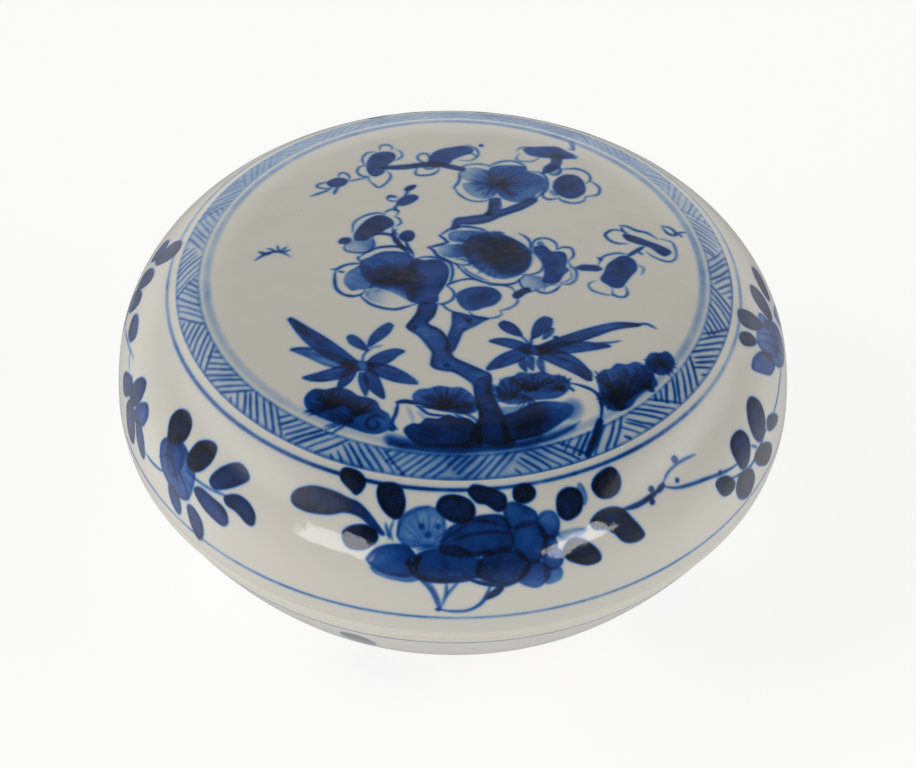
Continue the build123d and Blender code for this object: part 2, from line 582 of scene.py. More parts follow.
blossomA = {
    "washes": [
        (0.5, [(-15, 1.5), (-13.7, 2.5), (-12, 3.7), (-9.8, 4), (-7.7, 3.5), (-6.6, 2.1), (-6, -1),
            (-8, -4), (-12, -4.5), (-14, -3), (-15, -1)]),
        (0.62, [(-6.6, 2.1), (-5, 1.9), (-3.1, 2.1), (-1.6, 1.3), (-0.9, -0.4), (-1.1, -2.7), (-1.8, -4.8),
            (-2.5, -6.4), (-2.7, -8.1), (-5.2, -8.7), (-6.4, -8.3), (-7.5, -7), (-7.5, -3), (-7.5, 0)]),
        (0.42, ((-15, -1), (-17.5, -3), 0.75), [(-17.6, -3.5), (-17.3, -1.6), (-16.2, -0.4), (-15, 0.5),
            (-13.5, 0), (-12.5, -3), (-13.5, -5.2), (-15.2, -5.4), (-16.2, -5.7), (-17, -4.8)]),
        (0.5, ((-11, -4), (-11, -7.5), 0.7), [(-13.5, -5), (-12, -3), (-8, -3), (-6, -5), (-6.4, -8.3),
            (-7.5, -7.7), (-8.9, -6.6), (-10.6, -5.6), (-12.3, -5)]),
        (0.24, ((-13.5, -5.5), (-9.5, -8), 0.05), [(-14.1, -6.4), (-13.5, -5.4), (-12.3, -5.2), (-10.2, -6),
            (-8.5, -7), (-7.3, -8.4), (-8.9, -8.9), (-11.8, -8.7), (-13.5, -7.7)]),
    ],
    "pools": [
        (0.62, [(-12.5, -0.2), (-10.5, 0.6), (-8.5, 0.4), (-6.4, -0.6), (-4.3, -2.7), (-4.6, -4.8),
            (-5.6, -7), (-7.2, -6.6), (-8.9, -5.2), (-11.8, -4.2), (-13.4, -2.2)]),
        (0.35, [(-10, -1.5), (-8.5, -0.8), (-6.8, -1.6), (-5.6, -3.2), (-7, -5), (-9, -4.2), (-10.5, -3)]),
    ],
    "lines": [
        (0.55, 0.5, [(-15.6, 2.2), (-14.3, 3.6), (-12.5, 4.8), (-10.2, 5.2), (-8.5, 5), (-7.4, 4.5),
            (-6.8, 3.6), (-6.7, 2.5)]),
        (0.5, 0.45, [(-15.6, 2.7), (-15.5, 2), (-15, 1.3), (-15.2, 0.6)]),
        (0.6, 0.5, [(-19.8, -0.6), (-18.9, -0.5), (-17.5, 0.5), (-15.8, 0.9), (-15, 0.8)]),
        (0.62, 0.5, [(-18.9, -0.5), (-19.1, -1.8), (-19, -3.9), (-18.6, -5.4), (-17.5, -6.6), (-16, -7),
            (-14.8, -6.6), (-14.1, -5.6)]),
        (0.62, 0.5, [(-14.8, -6.8), (-14.1, -7.9), (-12.9, -9), (-11, -9.8), (-9.1, -10), (-7.5, -9.4),
            (-6, -8.7)]),
        (0.6, 0.45, [(-6.4, 2.1), (-4.8, 2.7), (-3.1, 2.6), (-1.6, 2.1), (-0.6, 0.9), (-0.3, -1),
            (-0.6, -3.1), (-1.2, -4.3)]),
        (0.55, 0.45, [(-1.1, -4.3), (-0.2, -5.4), (0, -6.6), (-0.6, -7.9), (-2, -8.7), (-2.7, -8.3)]),
        (0.5, 0.5, [(-18.6, -0.9), (-18.1, -1.2), (-17.6, -1.2)]),
    ],
    "fans": [(0.2, 0.7, (-9, -2.2), 1.5, 5.4, 0, 230, 17), (0.25, 0.5, (-8.4, -2.4), 1, 4.4, 60, 330, 15)],
}
blossomB = {
    "washes": [
        (0.4, ((3, 8), (-1, 9), 0.75), [(-1.1, 8.6), (-0.3, 9.3), (1.6, 9.5), (4.1, 9.4), (5.3, 9), (6, 7),
            (3, 6.2), (0.5, 6.5), (-0.9, 7)]),
        (0.42, ((0.5, 4), (-2.6, 4.6), 0.3), [(-2.8, 4.6), (-2, 5.7), (-0.5, 5.9), (1.5, 5.8), (3, 4.5),
            (2.5, 3), (1.2, 2.8), (0.1, 2.6), (-1.3, 2.7), (-2.4, 3.4)]),
        (0.52, ((6, 3), (5, -1.5), 0.8), [(5.3, 9.1), (7.4, 8.8), (9.5, 7.5), (11.4, 5.9), (12.2, 4),
            (12.1, 1.5), (11.2, -0.4), (9.5, -1.8), (8, -2.3), (6.6, -2.2), (4.9, -1.2), (3.3, 0.3),
            (2.6, 1.5), (1.6, 3.2), (1.2, 5.7), (2.4, 7.8), (4.1, 8.8)]),
    ],
    "pools": [
        (0.65, [(3.5, 6), (5.5, 8.3), (8, 8), (10.5, 6.2), (12, 4), (11.9, 1.6), (10.6, -0.6), (8.5, -1.6),
            (7, -1), (6, 0.8), (4.5, 2.2), (3.2, 4)]),
        (0.43, [(4, 5.5), (6.5, 6.6), (9.5, 5.5), (10.8, 3.5), (9.5, 1.2), (7, 1.5), (4.5, 3.2)]),
    ],
    "lines": [
        (0.6, 0.45, [(0.5, 0.8), (1.6, -1), (3.3, -2.5), (5.3, -3.4), (7.8, -3.7), (9.5, -3.3),
            (10.5, -2.3), (11.2, -1.3)]),
        (0.45, 0.35, [(1.1, 0.8), (2.2, -0.8), (3.8, -2), (5.4, -2.9)]),
        (0.5, 0.45, [(-3, 2.1), (-1.8, 1.9), (-0.7, 1.5), (0.4, 0.9), (0.6, 0)]),
        (0.45, 0.4, [(0.1, 2.2), (1.2, 2.2), (2.4, 1.7), (2.4, 1.1), (1.2, 0.9), (0.3, 1.2)]),
        (0.6, 0.5, [(-4.4, 5.1), (-3.5, 4.4), (-2.9, 3.2), (-1.8, 2.3), (-0.6, 1.7)]),
        (0.6, 0.5, [(-4.4, 5.1), (-3.1, 5.5), (-1.8, 6.1), (-1, 6.6)]),
        (0.6, 0.5, [(-2.6, 8.1), (-1.8, 7.3), (-1.2, 6.4)]),
        (0.6, 0.5, [(-2.6, 8.1), (-1.5, 9.2), (-0.5, 10), (1.2, 10.5), (2.8, 10.3), (4.5, 9.8),
            (5.5, 9.1)]),
        (0.55, 0.5, [(5.3, 9.1), (6.6, 9.2), (7.9, 9)]),
        (0.55, 0.4, [(10.3, 9), (11.4, 8.2), (12.1, 6.9), (12.2, 5), (12.3, 4)]),
        (0.55, 0.4, [(12.4, 4.6), (13.7, 2.8), (14.2, 1.3), (13.7, -0.2), (12.4, -1), (10.8, -1.2)]),
    ],
    "fans": [(0.26, 0.6, (6.5, 4.3), 2, 6.4, 110, 280, 22), (0.24, 0.5, (4.5, 5.4), 1, 5.2, 150, 215, 8)],
}
blossomC = {
    "washes": [
        (0.6, ((4, -6), (1, -9), 0.85), [(0.3, -6.4), (1.6, -5), (3.7, -4.3), (6, -4.5), (7.2, -5.6),
            (7.4, -7), (6.4, -8.5), (4.7, -9.3), (3.3, -10), (2, -10), (0.8, -8.5)]),
        (0.8, [(9.3, -6), (9.9, -5.2), (11, -4.4), (11.8, -4.3), (12.2, -5.1), (11.2, -5.8), (10.3, -6.8),
            (9.5, -6.8)]),
    ],
    "pools": [(0.35, [(2.5, -6.2), (4.2, -5.6), (5.8, -6.4), (5.3, -7.7), (3.6, -8.2), (2.3, -7.5)])],
    "lines": [
        (0.5, 0.4, [(-0.8, -3.9), (0.8, -2.9), (2.4, -2.5), (4.2, -2.7)]),
        (0.5, 0.4, [(5.3, -3.9), (7.4, -3.8), (9.1, -4.4), (9.8, -5.6)]),
        (0.5, 0.4, [(10.1, -6.6), (9.9, -8.1), (8.7, -9.3), (7.3, -9.9)]),
        (0.55, 0.4, [(7.3, -9.8), (7.5, -10.8), (6.4, -11.6), (4.5, -11.8), (3.3, -11.3), (2.4, -10.4)]),
        (0.55, 0.4, [(-2, -8.5), (-1, -9.8), (0.3, -10.6), (1.5, -10.6)]),
        (0.4, 0.4, [(-1.1, -4.2), (-0.4, -3.4), (0.3, -3)]),
    ],
}
blossomD = {
    "washes": [
        (0.66, [(12.6, 5.7), (13.7, 6.1), (14.5, 6.1), (15.5, 4.8), (17, 4.8), (17.8, 4.2), (18, 2.5),
            (17.8, 1.1), (18.3, 0.3), (17.4, -1), (16.6, -2.7), (15.3, -3.1), (14.1, -2.7), (14.3, -1),
            (14.3, 1.1), (13.7, 3.2), (12.8, 4.4)]),
        (0.3, ((13.8, -2), (11, -3), 0.35), [(10.9, -1.6), (12.5, -1.3), (14.2, -1.8), (14.8, -3),
            (14, -4.2), (13, -4.8), (11.5, -4.2), (10.8, -2.8)]),
        (0.3, [(13.2, 6.4), (13.6, 7.4), (14.3, 6.8), (14.2, 6)]),
    ],
    "pools": [(0.35, [(14.5, 4), (16.5, 3.5), (17.2, 1), (16.2, -1.5), (15.2, -1), (15, 1.5)])],
    "lines": [
        (0.55, 0.42, [(12.4, 5.6), (12.8, 7.3), (13.9, 8), (15.3, 7.8), (16.3, 6.7), (16.4, 5.3)]),
        (0.55, 0.42, [(16.4, 5.3), (17.4, 5.9), (18.7, 5.7), (19.1, 4.4), (18.9, 3.4), (18.2, 2.6)]),
        (0.55, 0.5, [(18.2, 2.7), (18.7, 1), (19.2, 0.8), (19.5, -0.4), (19.3, -2), (18.3, -3.1),
            (17, -3.1)]),
        (0.45, 0.35, [(18.5, 0.4), (18.7, -1.4), (17.8, -2.5), (16.8, -2.8)]),
        (0.55, 0.42, [(17, -3.2), (16.2, -4.5), (14.9, -5.4), (13.7, -5.3), (13, -4.8), (12.2, -5.3)]),
        (0.45, 0.35, [(14.2, -5), (14.4, -4.1), (15.3, -3.4), (16.4, -3.3)]),
        (0.55, 0.42, [(10.2, -2.2), (10.7, -3.9), (11.6, -4.9)]),
        (0.72, 1.5, [(19.6, 0.9), (20.6, 1), (22, 1), (23.4, 0.8)]),
    ],
}
blossomE = {
    "washes": [
        (0.43, ((9, 22), (13, 18.5), 0.85), [(5.6, 26.1), (7.8, 26.9), (11.1, 26.7), (11.9, 25.3),
            (13.9, 24.4), (14.9, 22.8), (14.6, 20.6), (13.1, 19.2), (12.8, 17.8), (10, 17.1), (7.8, 17.8),
            (6.9, 19.4), (6.1, 21.7), (5.3, 23.9)]),
        (0.34, ((5, 23), (1, 25), 0.6), [(1.1, 25.6), (3.3, 26.1), (5.3, 25), (6.2, 22.8), (3.3, 21.9),
            (1.4, 22.8), (0.6, 23.9)]),
        (0.36, ((5.5, 21), (2, 19), 0.6), [(1.1, 21.7), (3.3, 21.9), (6.3, 21.2), (6.4, 18.9), (5, 17.8),
            (2.8, 18.3), (1.4, 20)]),
    ],
    "pools": [
        (0.24, [(6, 25), (9, 26), (11.5, 25.4), (14, 23.6), (14.2, 21), (11, 22), (8, 21.8), (6.2, 22.6)]),
        (0.3, [(5, 22.6), (6.5, 24.2), (8.2, 23), (8.6, 21), (7.2, 19), (6, 19.6)]),
    ],
    "lines": [
        (0.5, 0.42, [(0.5, 24.4), (1.1, 26.4), (3.3, 27.1), (5.5, 26.7)]),
        (0.5, 0.42, [(5.3, 26.5), (7.2, 27.8), (9.4, 28.1), (11.2, 27), (11.5, 25.8)]),
        (0.5, 0.42, [(11.7, 25.4), (13.9, 25.1), (15, 23.3), (14.9, 20.6), (13.6, 18.9), (12.7, 17.6)]),
        (0.5, 0.42, [(-0.3, 20.6), (0.4, 18.9), (2.2, 17.3), (4.4, 17.1), (6.1, 18.1)]),
        (0.5, 0.5, [(-0.6, 20.3), (0.2, 21.8), (0.5, 23), (0.4, 24.5)]),
        (0.6, 0.45, [(7, 21.5), (9, 22), (11.5, 22.6)]),
        (0.6, 0.45, [(7, 21.3), (8.4, 19.8), (9.4, 18.6)]),
    ],
    "fans": [(0.24, 0.5, (6.6, 21.8), 1, 4.4, 100, 240, 12), (0.2, 0.6, (7, 21.8), 1.2, 5, -60, 80, 9),
        (0.55, 0.5, (6.4, 21.6), 0.3, 4.6, -35, 35, 3), (0.5, 0.45, (6.2, 21.6), 0.3, 3.4, 130, 250, 4)],
}
blossomF = {
    "washes": [
        (0.64, [(16.4, 23.3), (17.8, 24.7), (19.7, 24.7), (21, 23.1), (21.2, 20.3), (19.4, 18.6),
            (17.5, 18.9), (16.1, 20.6), (16, 22)]),
        (0.25, [(15.6, 20.6), (16.4, 20.2), (16.8, 19.2), (16.2, 19), (15.4, 19.8)]),
        (0.16, [(15.1, 25.6), (15.8, 26.7), (17, 26.3), (17, 25.2), (16, 24.7)]),
    ],
    "pools": [(0.32, [(17, 23), (18.5, 23.8), (20.2, 22.5), (20.2, 20.4), (18.2, 20.2), (17, 21.3)])],
    "lines": [
        (0.45, 0.4, [(15, 25.4), (15.5, 26.7), (16.6, 27), (17.3, 26.2), (17, 25), (16, 24.6),
            (15.1, 25.2)]),
        (0.5, 0.42, [(17.6, 26.3), (20, 26.5), (21.7, 25.4), (22.2, 23.9), (21.5, 22.6)]),
        (0.5, 0.42, [(22.1, 23.4), (23.6, 21.7), (23.3, 19.8), (21.4, 19.1)]),
        (0.5, 0.42, [(21.4, 19.3), (20.8, 17.8), (18.9, 17.3), (17.2, 18), (17, 18.7)]),
        (0.5, 0.42, [(16.8, 18.4), (15, 18.1), (14.2, 19.2), (14.6, 20.8)]),
    ],
}
blossomG = {
    "washes": [
        (0.58, [(11.1, 31.5), (12.7, 32.1), (15.2, 32.4), (16.9, 32.4), (18.3, 31.3), (19.7, 30.2),
            (19.1, 29.3), (16.9, 29.1), (14.7, 29.3), (13.3, 29.5), (11.8, 30.1)]),
        (0.25, [(18.8, 34.6), (19.6, 34.8), (19.8, 33), (19.3, 32)]),
    ],
    "lines": [
        (0.45, 0.4, [(9.9, 30.9), (10.8, 31.9), (13.3, 32)]),
        (0.4, 0.4, [(10.5, 30.4), (9.9, 28.8), (11, 28.1), (12.8, 28.3), (13.8, 29.4)]),
        (0.45, 0.4, [(18.6, 32.2), (19.6, 31.8), (19.3, 33.5)]),
        (0.45, 0.4, [(19, 29.6), (19.8, 29.4), (20, 30.2)]),
        (0.6, (1.9, 1.8, 0.5), [(16.7, 29.6), (16.6, 28.4), (16.3, 27.3), (15.4, 26.4), (14.4, 25)]),
    ],
}
blossomH = {
    "washes": [
        (0.6, [(-4.6, 26.4), (-4.7, 28.1), (-4, 29.9), (-2.6, 31), (-0.6, 31.6), (1.3, 32), (2.7, 31.1),
            (2.3, 30), (0.7, 29.1), (-0.6, 28.2), (-1.3, 27.1), (-3.1, 26)]),
        (0.3, [(-5.6, 26.6), (-4.2, 27), (-3.4, 26.4), (-4, 25.4), (-5.4, 25.4)]),
    ],
    "lines": [
        (0.5, 0.42, [(-4.5, 27.9), (-5, 29.6), (-6.2, 29.5), (-6.6, 28.4), (-5.9, 27.5), (-5, 27.3)]),
        (0.5, 0.42, [(-6.6, 26.1), (-6.7, 23.9), (-4.4, 23.9), (-3.1, 25), (-3, 26)]),
        (0.5, 0.42, [(0.2, 28), (2.2, 28), (3.5, 29.4), (3.2, 31.2), (1.6, 32.3)]),
        (0.45, 0.4, [(1.6, 30.2), (2.7, 29.8), (3.2, 28.9)]),
        (0.75, (0.9, 1.25, 1.1), [(-12.2, 25.7), (-10, 25.8), (-7.8, 26.1), (-5.6, 26.6), (-3.3, 26.9),
            (-1.4, 26.3), (0.9, 25.6)]),
    ],
    "dots": [(0.6, 0.38, (4, 32.2))],
}
blossomI = {
    "washes": [(0.66, [(-14.7, 28.1), (-13.9, 29.4), (-12.2, 30.1), (-10.6, 29.7), (-10.4, 28.1),
        (-11.7, 26.1), (-12.2, 24.2), (-13.6, 23.3), (-14.7, 24.4), (-15, 26.4)])],
    "pools": [(0.3, [(-13.8, 28), (-12, 29), (-11.5, 27.5), (-12.8, 25.5), (-14, 26)])],
    "lines": [
        (0.5, 0.42, [(-15.3, 26.1), (-15.8, 28.1), (-15, 29.7), (-13.6, 30)]),
        (0.5, 0.42, [(-13, 30.4), (-12.8, 31.7), (-11.7, 32), (-10.9, 31.3), (-11, 30.4)]),
        (0.45, 0.4, [(-10.3, 30.8), (-9.3, 29.9), (-9.3, 28.6), (-10.4, 27.6)]),
        (0.5, 0.42, [(-14.7, 22.5), (-13.6, 21.1), (-12.7, 20.4), (-11.4, 21.9), (-10.9, 23.6),
            (-11.7, 24.9)]),
        (0.5, 0.42, [(-15.2, 26.2), (-16.2, 25.8), (-16.5, 24.4), (-15.6, 23.3), (-14.7, 23.2),
            (-14.4, 22.3)]),
    ],
}
buds = {
    "washes": [
        (0.66, [(-21.4, 21.4), (-20.4, 22.6), (-18.8, 22.8), (-18, 22), (-18.8, 20.7), (-20.5, 20.4)]),
        (0.66, [(-16.4, 7.8), (-15.8, 9.7), (-14.4, 11.9), (-12.5, 13.1), (-10.6, 12.2), (-10.1, 10.6),
            (-11.4, 9.4), (-12.8, 8.1), (-14.7, 6.7), (-16.1, 6.7)]),
        (0.7, [(-18.9, 6.1), (-18.3, 7.2), (-16.9, 7.2), (-17.1, 6.1), (-18, 5.7)]),
        (0.28, ((-14, 6), (-16, 4), 0.6), [(-17.2, 6.5), (-17.3, 4.8), (-16, 4), (-14, 4.3), (-13.3, 5.8),
            (-13.6, 7)]),
        (0.72, [(-9.1, 7.6), (-8.4, 9), (-7.2, 9.2), (-6.6, 8.2), (-7, 6.8), (-8.2, 6.5)]),
        (0.62, [(-9.7, 16.7), (-8.9, 17.8), (-7.2, 18.6), (-6.2, 17.8), (-7.2, 16.4), (-8.6, 15.6),
            (-9.6, 15.8)]),
        (0.8, [(-8.6, 19.8), (-7.9, 20.8), (-6.7, 21.1), (-7, 20.2), (-7.8, 19.6)]),
        (0.68, [(23.9, 0), (24.4, 1.7), (25.6, 3.3), (27.2, 4.3), (28.9, 3.2), (29.2, 1.1), (28.3, -0.4),
            (27.5, -1.9), (26.7, -3.4), (25.3, -3.6), (24.2, -2.8), (23.3, -1.7)]),
        (0.68, [(27.2, 9.7), (28.9, 9.4), (31.1, 8.3), (33.3, 7.2), (34.9, 5.8), (33.9, 4.6), (32.8, 5.3),
            (31.4, 6.7), (29.4, 7.5), (27.8, 8.3)]),
    ],
    "pools": [
        (0.35, [(-15.6, 8), (-14, 10.8), (-12.4, 12), (-11.4, 10.6), (-13.4, 8.8)]),
        (0.3, [(25, 0.5), (26.8, 2.8), (28, 1), (26.5, -1.5), (25, -2)]),
    ],
    "lines": [
        (0.5, 0.4, [(-21.1, 21.8), (-22.8, 21.1), (-22.9, 20.3), (-21.4, 20), (-20.4, 20.3)]),
        (0.45, 0.4, [(-19.6, 22.9), (-19.4, 24), (-18.6, 24.2), (-17.8, 23.3), (-17.8, 22.1)]),
        (0.6, 0.45, [(-24, 17.9), (-21.7, 19.2), (-20.6, 20)]),
        (0.6, 0.5, [(-20.1, 18.4), (-19.9, 19.4), (-19.4, 20.6)]),
        (0.4, 0.4, [(-17.9, 21.9), (-16.5, 22.4), (-14.6, 23)]),
        (0.5, 0.42, [(-16.7, 8.6), (-16.5, 11.1), (-15, 12.8), (-12.8, 13.7), (-11.5, 13.2)]),
        (0.5, 0.42, [(-11.7, 13.7), (-10.6, 14.6), (-9.4, 14.2), (-9.7, 13.1)]),
        (0.5, 0.42, [(-10, 12.9), (-9.2, 12.2), (-8.9, 11.1), (-9.8, 10.2)]),
        (0.5, 0.45, [(-17.5, 6.4), (-17.8, 4.4), (-16.1, 3.6), (-13.9, 3.9), (-13.1, 5.6), (-13.4, 7.4)]),
        (0.7, 0.6, [(-13.5, 8), (-11.7, 8.4), (-10, 7.7), (-8.9, 5.8), (-7.9, 4.6)]),
        (0.65, 0.6, [(-10.2, 10), (-9.9, 7.2), (-8.9, 5.4), (-7.3, 3.3)]),
        (0.5, 0.5, [(-9.4, 9.6), (-9.9, 8.9), (-9.3, 8)]),
        (0.55, 0.5, [(-8, 6.6), (-7.6, 5.2), (-7, 3.6)]),
        (0.6, 0.6, [(-11.4, 17.4), (-10.8, 18.1), (-9.7, 17.8)]),
        (0.45, 0.4, [(-11.3, 17.2), (-10.6, 16.8), (-9.8, 16.9)]),
        (0.55, 0.5, [(-8.5, 18.2), (-8.1, 19), (-8, 19.8)]),
        (0.6, 0.5, [(-9.6, 15.9), (-10, 14.8), (-9.4, 14.3)]),
        (0.5, 0.42, [(23, 1.7), (23.9, 3.9), (26.1, 4.9), (27.8, 4.7)]),
        (0.5, 0.5, [(23, 3.7), (23.6, 2.8)]),
        (0.75, 0.7, [(27.8, 4.2), (29, 5.4), (30.5, 6.8)]),
        (0.6, 0.4, [(29.4, 5.6), (30.3, 4.7)]),
        (0.4, 0.4, [(29.4, 2.2), (30.3, 1.4), (29.9, -0.2)]),
        (0.5, 0.42, [(22.6, -2), (21.4, -2.9), (21.9, -4.4), (23.9, -5.3), (25.3, -5.4)]),
        (0.5, 0.42, [(25.1, -3.7), (25.3, -5.3), (26.7, -5.8), (27.5, -5), (27.3, -3.2)]),
        (0.55, 0.42, [(27.2, 10.6), (25.5, 10.7), (24.3, 9.5), (24.9, 8.2), (26.1, 7.4), (27.9, 7.3)]),
        (0.55, 0.45, [(26.7, 11.9), (27.8, 11.8), (29.4, 10.8), (31.1, 10.3), (32.8, 8.9)]),
        (0.55, 0.42, [(27, 11.6), (27.2, 10.6), (28, 9.8)]),
        (0.5, 0.42, [(33.2, 8.9), (35, 8.3), (35.6, 6.7), (35.6, 4.4), (34.4, 3.3), (32.2, 4.2),
            (30.8, 5.6)]),
        (0.7, 0.45, [(33.5, 12.3), (35, 11.9), (35.8, 10.8), (35.5, 10), (34.4, 10.6), (33.7, 11.9)]),
        (0.65, 0.4, [(35.6, 10.2), (36.3, 10.9), (37.6, 11.4)]),
        (0.6, 0.4, [(35.8, 10.8), (36.6, 10.3), (36.8, 9.9)]),
        # a small insect in the air
        (0.55, 0.5, [(-32.1, 1.6), (-30.8, 2.9), (-29.7, 3.6), (-28, 3.7), (-26.4, 2.5)]),
        (0.6, 0.55, [(-31.6, 3.8), (-30.4, 3.2), (-29.6, 3.4)]),
        (0.5, 0.4, [(-30.3, 4.6), (-29.5, 4.3), (-28.9, 3.6)]),
        (0.5, 0.4, [(-28.7, 5.4), (-28.5, 4.4), (-28.1, 3.7)]),
        (0.5, 0.4, [(-27.1, 5.1), (-27.7, 4.3), (-28.2, 3.7)]),
        (0.5, 0.4, [(-26.5, 4.2), (-27.3, 3.9), (-27.9, 3.6)]),
    ],
}
trunk = {
    "pool": 0.3,
    "washes": [
        (0.5, [(-5.3, -8.5), (-5.6, -10.5), (-6.4, -12.2), (-7.3, -14.2), (-5.3, -16.1), (-3.9, -18.3),
            (-3.1, -20), (-3.3, -22.8), (-1.7, -23.7), (0, -23.9), (2.2, -25.6), (3.3, -26.9), (3.4, -28.9),
            (4, -31.7), (4.3, -34.6), (3.4, -37.4), (1.6, -39.6), (9.4, -39.2), (8.4, -36.6), (7.9, -34),
            (6.9, -31.1), (6, -28.9), (5.9, -26.7), (5.8, -24.4), (4.4, -23.5), (2.2, -22.2), (0, -20.7),
            (-0.4, -19), (-1.1, -16.4), (-2.2, -14.7), (-4.2, -13.1), (-3.1, -11.1), (-2.7, -8.6)]),
        (0.72, ((4.6, -34), (4.6, -25), 0.5), [(3.2, -26.6), (3.6, -30), (4.2, -33.6), (3, -38.4),
            (8.8, -38.6), (7.6, -33), (6, -28.4), (5.8, -25), (4.4, -25.2)]),
        (0.52, [(-0.2, -10.6), (1, -10.7), (3, -11.2), (5.5, -11.7), (4.6, -12.6), (3.3, -13.7), (1.6, -15),
            (0.9, -17.2), (0, -19.6), (-1.3, -19.5), (-1, -16.6), (-0.3, -13.5)]),
        (0.5, ((2, 12), (6, 12.5), 1.1), [(-0.7, 9.6), (-0.5, 11.1), (0.1, 12.4), (1.6, 12.9), (4.3, 13.6),
            (5.4, 15), (5.7, 17.6), (7.1, 18), (7.1, 15.2), (9.6, 16.4), (12.2, 18.3), (13.3, 17.6),
            (10.8, 15.2), (7.6, 13.5), (5.3, 11.9), (3, 11.2), (0.9, 11.1), (0.4, 10)]),
    ],
    "pools": [(0.3, [(-5.2, -9), (-5.4, -10.8), (-6.2, -13.6), (-4.6, -13), (-3.4, -11), (-3.2, -9)])],
    "lines": [
        (0.5, 0.5, [(-6.6, -12.6), (-7.2, -14.2), (-5.2, -16.2), (-3.9, -18.3), (-3.1, -20), (-3.2, -22.7),
            (-1.5, -23.7), (0.2, -24), (2.2, -25.6), (3.3, -27.2)]),
        (0.45, 0.45, [(-0.3, -19.4), (0.2, -21), (2.2, -22.3), (4.4, -23.6), (5.8, -24.7), (5.9, -27)]),
        (0.75, 0.45, [(3.5, -27.4), (3.8, -30.6), (4.4, -33.6), (4, -36.6)]),
        (0.6, 0.45, [(5.9, -25), (6.1, -28.6), (7.2, -31.8), (8.2, -34.6), (8.6, -37)]),
        (0.75, 0.5, [(-5.4, -8.6), (-5.6, -10.6), (-6.5, -12.6), (-7.3, -14.2)]),
        (0.75, 0.5, [(-2.8, -8.8), (-3.2, -11.2), (-4.2, -13.2), (-2.2, -14.8), (-1.1, -16.6),
            (-0.5, -18.4)]),
        (0.5, 0.5, [(0.2, -10.8), (2.2, -12.2), (2.6, -13.6)]),
        (0.6, 0.6, [(5.2, 13.4), (5.6, 15.6), (5.6, 17.8)]),
        (0.55, 0.55, [(0.9, 11.1), (3, 11.3), (5.4, 12.1), (7.8, 13.7), (11, 15.5)]),
        (0.55, 0.5, [(7.3, 15.3), (7.2, 16.6), (7.2, 18)]),
        (0.5, 0.4, [(-0.6, 11.5), (0.2, 12.5), (2, 12.9), (4.4, 13.6)]),
    ],
    "dots": [(0.8, 0.6, (2.3, -12.3)), (0.8, 0.5, (5.3, 13.9)), (0.5, 0.6, (6, 16.5)),
        (0.6, 0.5, (-1, -22.6)), (0.5, 0.7, (-6.4, -14.2))],
}
